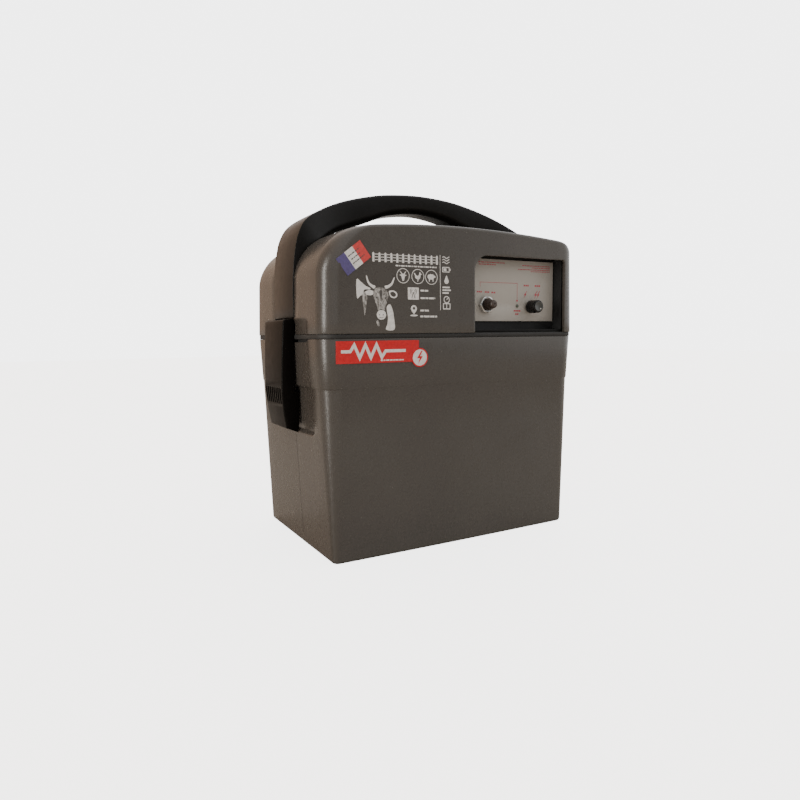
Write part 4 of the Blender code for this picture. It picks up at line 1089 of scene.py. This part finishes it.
def decal(name, shapes, wall_y, finish, body, slot, lift=(0.04, 0.12), bend=6.0):
    """Thin closed bodies on a front wall. Each shape is a list of outlines: its edge, then
    any holes. They are cut every few millimetres so that they follow the wall, and sorted by
    place at the end, because the fill's own order changes from run to run."""
    working = bmesh.new()
    for outlines in shapes:
        edges = []
        for outline in outlines:
            corners = [working.verts.new((x, 0.0, z)) for x, z in outline]
            edges += [working.edges.new((a, b))
                      for a, b in zip(corners, corners[1:] + corners[:1])]
        bmesh.ops.triangle_fill(working, use_beauty=True, edges=edges, normal=(0, -1, 0))
    xs = [vertex.co.x for vertex in working.verts]
    cuts = int((max(xs) - min(xs)) / bend)
    for k in range(1, cuts):
        place = min(xs) + (max(xs) - min(xs)) * k / cuts
        everything = working.verts[:] + working.edges[:] + working.faces[:]
        bmesh.ops.bisect_plane(working, geom=everything, plane_co=(place, 0, 0),
                               plane_no=(1, 0, 0), dist=1e-5)
    grown = bmesh.ops.extrude_face_region(working, geom=working.faces[:])
    front = {item for item in grown["geom"] if isinstance(item, bmesh.types.BMVert)}
    for vertex in working.verts:
        x, z = vertex.co.x, vertex.co.z
        vertex.co.y = wall_y(x, z) - lift[1 if vertex in front else 0]
    bmesh.ops.recalc_face_normals(working, faces=working.faces)
    for vertex in working.verts:
        vertex.co = metres(vertex.co)
    sort_by(working.verts, lambda vertex: vertex.co[:])
    sort_by(working.faces, lambda face: sorted(vertex.co[:] for vertex in face.verts))
    mesh = bpy.data.meshes.new(name)
    working.to_mesh(mesh)
    working.free()
    mesh.materials.append(FINISHES[finish])
    piece = bpy.data.objects.new(name, mesh)
    bpy.context.collection.objects.link(piece)
    return finish_piece(piece, body, slot)


def lid_print(name, shapes, finish="sticker_white", lift=(0.04, 0.12)):
    return decal(name, shapes, lid_front_y, finish, "lid", "sticker_white", lift)


def plate_print(name, shapes):
    return decal(name, shapes, plate_front_y, "print_red", "lid", "badge_red", (0.02, 0.07))


def badge_print(name, shapes, slot, lift, bend=6.0):
    return decal(name, shapes, tub_front_y, slot, "tub", slot, lift, bend)


def dashes(*rows):
    """Rows of short bars of cycling lengths, as a plain stand-in for small print. A row gives
    its start, end, height above the datum, thickness, bar lengths and gap."""
    made = []
    for x, stop, z, thickness, lengths, gap in rows:
        for length in itertools.cycle(lengths):
            if x >= stop - 0.2:
                break
            end = min(stop, x + length)
            made.append([rect(x, z - thickness / 2, end, z + thickness / 2)])
            x = end + gap
    return made


BOLT = [(0.10, 0.50), (-0.26, -0.06), (-0.02, -0.06), (-0.14, -0.50), (0.26, 0.10),
        (0.01, 0.10), (0.24, 0.50)]


def build_title_print():
    """A length of fence: bold posts, three wires and a row of dashes below them."""
    low, high = 252.2, 260.0
    left, right = -88.9, -28.2
    count = 12
    pitch = (right - left) / (count - 1)
    posts = []
    for k in range(count):
        x = left + pitch * k
        posts.append([[(x - 0.95, low), (x + 0.95, low), (x + 0.95, high - 0.9), (x, high),
                       (x - 0.95, high - 0.9)]])
    lid_print("print_fence_posts", posts)
    wires = []
    for z in (low + 1.6, low + 3.9, low + 6.1):
        for k in range(count - 1):
            x = left + pitch * k
            wires.append([rect(x + 1.25, z - 0.3, x + pitch - 1.25, z + 0.3)])
    lid_print("print_fence_wires", wires)
    lid_print("print_dash_row", dashes((-68.5, -28.4, 249.9, 1.1, (2.6, 1.2, 3.4, 1.8), 0.7)))


def animal_shapes():
    """Three plain farm silhouettes in a unit circle: a horned head, a hen and a sheep."""
    half = [(0.0, -0.72), (0.16, -0.60), (0.20, -0.34), (0.34, -0.02), (0.62, 0.10), (0.36, 0.16),
            (0.24, 0.22), (0.40, 0.44), (0.56, 0.70), (0.30, 0.52), (0.12, 0.30), (0.0, 0.32)]
    head = smooth_loop(half + [(-x, z) for x, z in reversed(half[1:-1])])
    hen = smooth_loop([(-0.66, 0.40), (-0.50, 0.16), (-0.46, -0.14), (-0.22, -0.36),
                       (-0.06, -0.44), (-0.10, -0.70), (0.04, -0.68), (0.08, -0.44),
                       (0.30, -0.30), (0.42, -0.02), (0.44, 0.22), (0.66, 0.34), (0.46, 0.42),
                       (0.40, 0.62), (0.26, 0.58), (0.20, 0.30), (0.06, 0.12), (-0.16, 0.10),
                       (-0.36, 0.26), (-0.50, 0.50)])
    sheep = smooth_loop([(-0.66, 0.12), (-0.56, 0.34), (-0.34, 0.38), (-0.14, 0.48),
                         (0.08, 0.40), (0.28, 0.44), (0.40, 0.28), (0.62, 0.22), (0.70, 0.02),
                         (0.54, -0.06), (0.42, -0.08), (0.34, -0.26), (0.32, -0.60),
                         (0.20, -0.60), (0.16, -0.32), (-0.04, -0.34), (-0.26, -0.32),
                         (-0.30, -0.60), (-0.42, -0.60), (-0.44, -0.28), (-0.62, -0.12)])
    return head, hen, sheep


def build_pictograms():
    rings, figures = [], []
    for (x, z), figure in zip(((-61.6, 241.8), (-47.3, 241.7), (-33.9, 241.5)), animal_shapes()):
        rings.append([disc(x, z, 6.2, 48), disc(x, z, 5.65, 48)])
        figures.append([moved(figure, x, z, 5.9)])
    lid_print("print_rings", rings)
    lid_print("print_animals", figures)


def build_side_icons():
    lid_print("print_divider", [[rect(-25.25, 214.0, -24.8, 260.6)]])
    waves = []
    for k in range(3):
        z = 254.3 + 2.2 * k
        waves.append([stroke([(-22.6 + 0.8 * i, z + 0.7 * math.sin(i * 0.9)) for i in range(10)],
                             0.7)])
    battery = [[round_rect(-22.8, 246.2, -15.4, 250.8, 0.6), round_rect(-22.1, 246.9, -16.1,
                                                                         250.1, 0.3)],
               [rect(-15.2, 247.5, -14.4, 249.5)], [rect(-21.5, 247.4, -18.6, 249.6)]]
    drop = smooth_loop([(-18.6, 243.6), (-17.2, 240.8), (-16.3, 238.6), (-17.2, 236.9),
                        (-18.6, 236.4), (-20.0, 236.9), (-20.9, 238.6), (-20.0, 240.8)])
    bars = [[rect(-22.8, z - 0.65, x, z + 0.65)] for z, x in ((233.4, -15.4), (231.0, -14.2),
                                                              (228.6, -16.4))]
    dial = [[disc(-18.6, 222.9, 3.1, 36), disc(-18.6, 222.9, 2.35, 36)],
            [stroke([(-18.6, 222.9), (-17.2, 224.3)], 0.7)]]
    book = [[rect(-22.4, 214.6, -14.8, 219.8), rect(-21.7, 215.4, -18.9, 219.1),
             rect(-18.3, 215.4, -15.5, 219.1)]]
    lid_print("print_side_icons", [*waves, *battery, [drop], *bars, *dial, *book])


def build_mast_and_pin():
    left, low, right, high = -57.3, 222.4, -46.6, 232.5
    x = (left + right) / 2
    mast = [(x - 1.9, low + 1.2), (x - 0.3, high - 3.6), (x + 0.3, high - 3.6),
            (x + 1.9, low + 1.2), (x + 1.2, low + 1.2), (x, low + 5.2), (x - 1.2, low + 1.2)]
    lid_print("print_mast_tile", [[round_rect(left, low, right, high, 0.6), mast]])
    arcs = []
    for radius in (1.7, 3.0):
        for start in (-50, 130):
            arcs.append([stroke(arc((x, high - 3.4), radius, start, start + 100, 8), 0.45)])
    lid_print("print_mast_arcs", arcs, "print_dark", (0.14, 0.18))
    pin_x, pin_z = -51.6, 214.9
    body = [(pin_x, pin_z - 4.9)] + arc((pin_x, pin_z), 2.9, -25, 205, 18)
    base = [(pin_x + 3.6 * math.cos(math.radians(12 * i)),
             209.2 + 0.75 * math.sin(math.radians(12 * i))) for i in range(30)]
    lid_print("print_map_pin", [[body, disc(pin_x, pin_z + 0.3, 1.2, 20)]])
    lid_print("print_map_pin_base", [[base]])
    lid_print("print_mast_dashes", dashes((-44.9, -37.2, 230.1, 1.5, (3.4, 3.6), 0.6),
                                          (-44.9, -30.4, 223.8, 1.5, (4.2, 2.8, 5.2), 0.6),
                                          (-45.4, -36.8, 213.4, 1.5, (3.8, 4.4), 0.6),
                                          (-45.4, -28.6, 208.4, 1.5, (3.0, 5.6, 4.4), 0.6)))


def build_cow_print():
    """A cow's head and neck in three tones, of plain rounded shapes."""
    horns = [smooth_loop([(-88.8, 230.6), (-91.6, 232.0), (-94.6, 235.2), (-95.9, 240.6),
                          (-94.9, 240.2), (-93.2, 235.9), (-90.6, 233.8), (-87.6, 232.8)], 5),
             smooth_loop([(-78.2, 230.8), (-75.2, 231.6), (-71.6, 234.6), (-69.6, 240.0),
                          (-70.7, 239.6), (-72.8, 235.9), (-75.8, 233.9), (-79.0, 233.0)], 5)]
    ears = [smooth_loop([(-89.4, 228.2), (-92.6, 229.4), (-96.6, 228.2), (-97.4, 226.4),
                         (-93.8, 225.2), (-90.0, 225.8)], 5)]
    ring_ear = [smooth_loop([(-75.2, 228.6), (-71.4, 229.6), (-68.0, 227.8), (-67.6, 224.8),
                             (-70.4, 223.2), (-73.8, 224.4)], 5),
                smooth_loop([(-74.0, 227.6), (-71.4, 228.4), (-69.0, 227.1), (-68.8, 225.2),
                             (-70.6, 224.3), (-73.0, 225.2)], 5)]
    muzzle = smooth_loop([(-85.6, 212.4), (-82.6, 213.4), (-79.4, 212.4), (-78.2, 209.4),
                          (-79.6, 206.6), (-82.6, 205.6), (-85.4, 206.6), (-86.8, 209.4)], 5)
    shoulder = smooth_loop([(-104.4, 237.4), (-100.6, 235.8), (-96.4, 232.6), (-92.4, 231.0),
                            (-92.8, 229.8), (-97.6, 229.6), (-98.9, 226.0), (-101.4, 224.6),
                            (-104.3, 223.0)], 4)
    neck = smooth_loop([(-77.6, 215.6), (-74.4, 218.2), (-72.0, 213.4), (-70.8, 206.6),
                        (-70.6, 197.6), (-78.4, 197.5), (-77.0, 202.4), (-76.6, 208.4)], 4)
    lid_print("print_cow_light", [[outline] for outline in (*horns, *ears, muzzle, shoulder,
                                                            neck)] + [ring_ear])
    face = smooth_loop([(-88.4, 230.2), (-83.2, 231.8), (-78.6, 230.4), (-75.9, 226.4),
                        (-76.8, 221.4), (-78.6, 216.8), (-79.4, 213.2), (-82.6, 214.2),
                        (-85.6, 213.2), (-86.6, 217.0), (-88.6, 221.6), (-89.6, 226.2)], 5)
    flank = smooth_loop([(-99.4, 224.8), (-97.4, 227.8), (-95.2, 224.2), (-96.2, 217.0),
                         (-97.6, 208.8), (-98.6, 214.6)], 4)
    bib = smooth_loop([(-86.0, 205.2), (-84.8, 203.6), (-84.6, 200.4), (-86.2, 200.8),
                       (-87.2, 204.0)], 4)
    lid_print("print_cow_tone", [[face], [flank], [bib]], "print_halftone")
    marks = [disc(-86.6, 223.4, 0.8, 14), disc(-78.4, 223.2, 0.8, 14),
             disc(-84.4, 209.6, 0.5, 12), disc(-80.8, 209.6, 0.5, 12),
             stroke([(-84.6, 207.4), (-82.6, 207.0), (-80.6, 207.4)], 0.35),
             smooth_loop([(-84.2, 228.6), (-82.6, 229.6), (-81.2, 228.4), (-81.8, 224.0),
                          (-82.8, 220.8), (-83.6, 224.2)], 4)]
    lid_print("print_cow_marks", [[mark] for mark in marks], "print_dark", (0.13, 0.17))


def build_corner_sticker():
    low, high = box_mm("corner_sticker")
    centre = ((low.x + high.x) / 2, (low.z + high.z) / 2)
    long_side, short_side, tilt = 26.0, 16.0, 37.0
    stripes = (("sticker_blue_band", "stripe_blue"), ("sticker_white_band", "sticker_white"),
               ("sticker_red_band", "stripe_red"))
    third = long_side / 3
    for k, (name, finish) in enumerate(stripes):
        u = -long_side / 2 + third * k
        outline = turned_about(rect(u, -short_side / 2, u + third, short_side / 2), centre, tilt)
        piece = lid_print(name, [[outline]], finish, (0.05, 0.42))
        if k == 1:
            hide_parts("corner_sticker")
    rows = dashes(*((u0, u1, 3.6 - 3.4 * k, 0.9, (2.0, 1.3, 2.6), 0.55)
                    for k, (u0, u1) in enumerate(((-3.6, 8.8), (-2.6, 7.2), (-3.4, 9.4)))))
    lid_print("sticker_dashes", [[turned_about(bar[0], centre, tilt)] for bar in rows],
              "print_dark", (0.42, 0.46))


def build_badge():
    low, high = box_mm("front_badge")
    left, right = low.x, high.x
    base, top = low.z, high.z
    badge = badge_print("badge_plate", [[round_rect(left, base, right, top, 0.5)]], "badge_red",
                        (0.05, 0.45))
    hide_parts("front_badge")
    centre = (right + 1.0, base + 3.4)
    badge_print("badge_roundel", [[disc(*centre, 8.1, 56)]], "badge_red", (0.46, 0.58), 3.0)
    badge_print("badge_roundel_ring", [[disc(*centre, 6.9, 56)]], "sticker_white", (0.59, 0.63),
                3.0)
    badge_print("badge_bolt", [[moved(BOLT, *centre, 11.0)]], "badge_red", (0.64, 0.68), 3.0)
    middle = (base + top) / 2 + 0.6
    reach = 5.2
    wave = [(4.0, 0), (12.0, 0), (15.5, reach), (20.5, -reach), (25.5, reach), (30.5, -reach),
            (35.5, reach), (40.5, -reach), (44.0, 0), (63.0, 0)]
    badge_print("badge_pulse", [[stroke([(left + x, middle + z) for x, z in wave], 2.5)]],
                "sticker_white", (0.46, 0.52))
    row = (left + 39.5, left + 61.0, base + 2.0, 1.1, (2.4, 1.4, 3.0), 0.6)
    badge_print("badge_dashes", dashes(row), "sticker_white", (0.46, 0.52))


def build_plate_print():
    plate_print("plate_small_print", dashes((26.0, 56.5, 259.0, 0.75, (2.2, 3.8, 1.6, 2.8), 0.5),
                                            (26.6, 46.0, 257.0, 0.75, (3.0, 1.8, 2.4), 0.5),
                                            (77.5, 112.0, 257.7, 0.75, (2.8, 1.6, 3.6), 0.5),
                                            (89.5, 113.0, 255.9, 0.75, (2.2, 3.4, 1.4), 0.5),
                                            (72.5, 112.5, 254.0, 0.75, (1.8, 3.2, 2.4), 0.5),
                                            (88.0, 112.0, 252.4, 0.6, (2.6, 1.6, 3.0), 0.5)))
    bracket = [stroke([(28.0, 236.6), (28.0, 240.7), (71.6, 240.7), (71.6, 226.2)], 0.42)]
    plate_print("plate_bracket", [bracket, [disc(LED.x, 224.4, 1.05, 20)]])
    plate_print("plate_labels", dashes((24.2, 30.4, 231.9, 1.5, (1.7, 1.6, 1.5), 0.5),
                                       (33.2, 38.4, 231.7, 1.5, (1.4, 1.5, 1.3), 0.5),
                                       (41.0, 45.8, 231.4, 1.5, (2.1, 1.9), 0.6),
                                       (67.6, 75.6, 214.8, 1.5, (1.6, 1.7, 1.6), 0.5),
                                       (69.4, 73.4, 211.7, 1.5, (1.7, 1.6), 0.5),
                                       (79.6, 86.0, 238.9, 1.6, (1.8, 1.7, 1.6), 0.5),
                                       (93.2, 100.8, 238.9, 1.6, (2.0, 1.7, 2.2), 0.5)))
    bolts = [[leaning(BOLT, x, 230.2, size)] for x, size in ((81.4, 7.0), (94.4, 8.0),
                                                            (97.6, 8.0))]
    plate_print("plate_bolts", bolts)


def rear_wall_y(x, z):
    return REAR_Y


def build_rear_symbols():
    """A bolt above the fence terminal and an earth sign above the other one."""
    earth = [rect(-0.4, 0.6, 0.4, 3.4), rect(-3.2, -0.1, 3.2, 0.6), rect(-2.1, -1.4, 2.1, -0.7),
             rect(-1.0, -2.7, 1.0, -2.0)]
    shapes = [[moved(BOLT, FENCE_POST.x, FENCE_POST.z + 16.4, 7.6)]]
    shapes += [[moved(bar, EARTH_POST.x, EARTH_POST.z + 16.2)] for bar in earth]
    decal("rear_symbols", shapes, rear_wall_y, "sticker_white", "lid", "sticker_white",
          (-0.14, -0.04))


# ---------------------------------------------------------------- battery and leads

def battery_block(half_x, half_y, levels):
    """A block with round corners, from (height, inset) levels."""
    rings = []
    for z, inset in levels:
        x, y = half_x - inset, half_y - inset
        rings.append([(u, v, z) for u, v in round_rect(-x, -y, x, y, 5.0, 6)])
    return loft(rings)


def build_battery():
    low, high = box_mm("battery_case")
    base, top = low.z, high.z
    levels = [(base, 1.6), (base + 0.6, 0.6), (base + 1.6, 0.2), (base + 9.0, 0.0),
              (base + 10.0, 0.8), (top - 24.0, 0.8), (top - 23.0, 0.0), (top - 0.8, 0.0),
              (top, 0.6)]
    placed("battery_box", battery_block(high.x, high.y, levels), "tub", "battery_white",
           "battery_case")
    low, high = box_mm("battery_cover")
    base, top = low.z, high.z
    levels = [(base, 0.5), (base + 0.5, 0.0), (base + 4.4, 0.0), (base + 4.9, 0.5),
              (base + 4.9, 3.0), (top - 1.0, 3.6), (top - 0.3, 4.0), (top, 4.8)]
    cover = make_piece("battery_top", battery_block(high.x, high.y, levels),
                       FINISHES["battery_green"])
    plugs = [(-60.0 + 24.0 * k, 36.0) for k in range(6)]
    well = [(top - 1.0, 7.6), (top + 2.0, 7.6)]
    carve(cover, "DIFFERENCE", [make_piece(f"plug_well_{k}", turned(well, "Z", at, 32))
                                for k, at in enumerate(plugs)])
    soften(cover, 0.3, angle=50)
    finish_piece(cover, "tub", "battery_green", "battery_cover")
    cap = [(top - 0.95, 7.0), (top - 0.2, 7.0), (top - 0.05, 6.7), (top - 0.05, 4.6),
           (top - 0.4, 4.4), (top - 0.4, 0.3)]
    for k, at in enumerate(plugs, 1):
        placed(f"battery_plug_{k}", turned(cap, "Z", at, 32), "tub", "battery_green")
    for label in ("positive", "negative"):
        low, high = box_mm(f"battery_{label}_post")
        base, top = low.z, high.z
        post = [(base, 7.8), (base + 0.3, 8.0), (base + 1.2, 8.0), (base + 1.5, 7.6),
                (base + 1.6, 4.7), (base + 2.0, 4.5), (top - 0.7, 4.05), (top - 0.2, 3.8),
                (top, 3.3)]
        placed(f"battery_{label}_pole", turned(post, "Z", ((low.x + high.x) / 2, 0.0), 40), "tub",
               "steel", f"battery_{label}_post")


def build_leads():
    radius = 1.6
    route = [(45, 0, 172.0), (45, -2, 177.0), (46, -14, 180.5), (47, -36, 181.0),
             (53, -46, 181.0), (60, -38, 182.0), (61, -14, 184.5), (61, 2, 188.5), (61, 5, 196.0)]
    for label, side in (("positive", -1), ("negative", 1)):
        points = [Vector((side * x, y, z)) for x, y, z in spline(route, 8)]
        rings = []
        for k, point in enumerate(points):
            ahead = points[min(k + 1, len(points) - 1)] - points[max(k - 1, 0)]
            across = ahead.cross(Vector((1, 0, 0))).normalized()
            other = ahead.cross(across).normalized()
            rings.append([point + radius * (across * math.cos(math.tau * i / 14)
                                            + other * math.sin(math.tau * i / 14))
                          for i in range(14)])
        slot = "lead_red" if label == "positive" else "lead_black"
        lead = make_piece(f"{label}_lead", loft(rings), FINISHES[slot])
        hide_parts(f"battery_lead_{label}")
        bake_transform(lead)


# ---------------------------------------------------------------- camera, light and floor

CAMERA_AT = (-0.32177, -0.55074, 0.18900)
CAMERA_YAW = 29.09
CAMERA_PITCH = 5.8155
CAMERA_ROLL = -0.6736
CAMERA_LENS = 28.22

LIGHT_LEVEL = 1.27
LIGHT_GAINS = (0.52, 0.32, 0.20)       # how the light grows to the right, the back and the top
WARM_DIRECTION = (-0.45, 0.35, -0.05)
WARM_LIGHT = (0.58, 0.41, 0.30)
DIM_DIRECTION = (0.35, -0.93, 0.06)    # a dark corner of the room, in front
DIM_EDGE = (0.90, 0.985)
DIM_LIGHT = 0.12
BACKDROP = 4.5                         # what the camera sees of the studio and the floor
FLOOR_LIFT = 3.6
FLOOR_SIZE = 12
FLOOR_GAP = 0.0003


def camera_matrix():
    yaw, pitch, roll = (math.radians(a) for a in (CAMERA_YAW, CAMERA_PITCH, CAMERA_ROLL))
    forward = Vector((math.sin(yaw) * math.cos(pitch), math.cos(yaw) * math.cos(pitch),
                      -math.sin(pitch)))
    right = Vector((math.cos(yaw), -math.sin(yaw), 0.0))
    up = right.cross(forward)
    tilted_right = right * math.cos(roll) + up * math.sin(roll)
    tilted_up = up * math.cos(roll) - right * math.sin(roll)
    turn = Matrix((tilted_right, tilted_up, -forward)).transposed().to_4x4()
    return Matrix.Translation(Vector(CAMERA_AT)) @ turn


def build_camera():
    data = bpy.data.cameras.new("camera")
    data.lens = CAMERA_LENS
    data.sensor_width = 36.0
    data.clip_start = 0.01
    camera = bpy.data.objects.new("camera", data)
    bpy.context.collection.objects.link(camera)
    camera.matrix_world = camera_matrix()
    bpy.context.scene.camera = camera


def area_light(name, at, aim, size, power, colour=(1, 1, 1), gloss_only=False):
    data = bpy.data.lights.new(name, "AREA")
    data.shape = "RECTANGLE"
    data.size, data.size_y = size
    data.energy = power
    data.color = colour
    light = bpy.data.objects.new(name, data)
    bpy.context.collection.objects.link(light)
    direction = Vector(aim) - Vector(at)
    light.rotation_euler = direction.to_track_quat("-Z", "Y").to_euler()
    light.location = at
    light.visible_diffuse = not gloss_only


def weighed(tree, parts, gains, start):
    """A direction's weighted sum, plus a start value."""
    total = start
    for axis, gain in zip("XYZ", gains):
        total = calculated(tree, "MULTIPLY_ADD", parts.outputs[axis], gain, total)
    return total


def studio_world():
    """Soft light, warm and dim from behind on the left. What the camera sees of it is white."""
    world = bpy.data.worlds.new("studio")
    world.use_nodes = True
    tree = world.node_tree
    background = tree.nodes["Background"]
    parts = node(tree, "SeparateXYZ", Vector=node(tree, "TexCoord").outputs["Generated"])
    side = weighed(tree, parts, WARM_DIRECTION, 0.5)
    tree.links.new(ramp(tree, side, (1.0, 1.0, 1.0), WARM_LIGHT, (0.5, 0.85)),
                   background.inputs["Color"])
    dark = tree.nodes.new("ShaderNodeMapRange")
    dark.interpolation_type = "SMOOTHSTEP"
    for name, value in (("Value", weighed(tree, parts, DIM_DIRECTION, 0.0)),
                        ("From Min", DIM_EDGE[0]), ("From Max", DIM_EDGE[1]),
                        ("To Min", 1.0), ("To Max", DIM_LIGHT)):
        feed(tree, value, dark.inputs[name])
    strength = calculated(tree, "MULTIPLY", weighed(tree, parts, LIGHT_GAINS, LIGHT_LEVEL),
                          dark.outputs["Result"])
    tree.links.new(strength, background.inputs["Strength"])
    seen = node(tree, "Background", Color=(1, 1, 1, 1), Strength=BACKDROP)
    mix = node(tree, "MixShader", Fac=node(tree, "LightPath").outputs["Is Camera Ray"])
    tree.links.new(background.outputs["Background"], mix.inputs[1])
    tree.links.new(seen.outputs["Background"], mix.inputs[2])
    tree.links.new(mix.outputs["Shader"], tree.nodes["World Output"].inputs["Surface"])
    bpy.context.scene.world = world


def build_stage():
    bpy.ops.mesh.primitive_plane_add(size=1, location=(0, 0, -FLOOR_GAP))
    floor = bpy.context.object
    floor.name = "floor"
    floor.scale = (FLOOR_SIZE, FLOOR_SIZE, 1)
    tree, shader = new_material("floor_pale", (0.56, 0.50, 0.43), 0.6)
    where = object_coordinates(tree)
    tree.links.new(ramp(tree, noise(tree, where, 40.0), (0.55, 0.49, 0.42),
                        (0.57, 0.51, 0.44)), shader.inputs["Base Color"])
    shader.inputs["Emission Color"].default_value = (1, 1, 1, 1)
    seen = node(tree, "LightPath").outputs["Is Camera Ray"]
    tree.links.new(calculated(tree, "MULTIPLY", seen, FLOOR_LIFT),
                   shader.inputs["Emission Strength"])
    floor.data.materials.append(FINISHES["floor_pale"])
    studio_world()
    window = ((-1.45, -0.34, 0.42), (0, 0, 0.2), (0.15, 1.1))
    area_light("left_window", *window, 7.0, (1.0, 0.93, 0.84))
    area_light("left_glint", *window, 20.0, (0.97, 0.97, 0.95), True)


def main():
    build_camera()
    build_stage()
    make_finishes()
    dress_cad_nodes()
    build_tub()
    build_seal()
    build_lid()
    build_handle()
    build_latch("left_latch", -1)
    build_latch("right_latch", 1)
    build_tray()
    build_plate()
    build_toggle()
    build_knob()
    build_led()
    build_terminal("fence_terminal", FENCE_POST, "terminal_red")
    build_terminal("earth_terminal", EARTH_POST, "terminal_green")
    build_title_print()
    build_pictograms()
    build_side_icons()
    build_mast_and_pin()
    build_cow_print()
    build_corner_sticker()
    build_badge()
    build_plate_print()
    build_rear_symbols()
    build_battery()
    build_leads()


main()
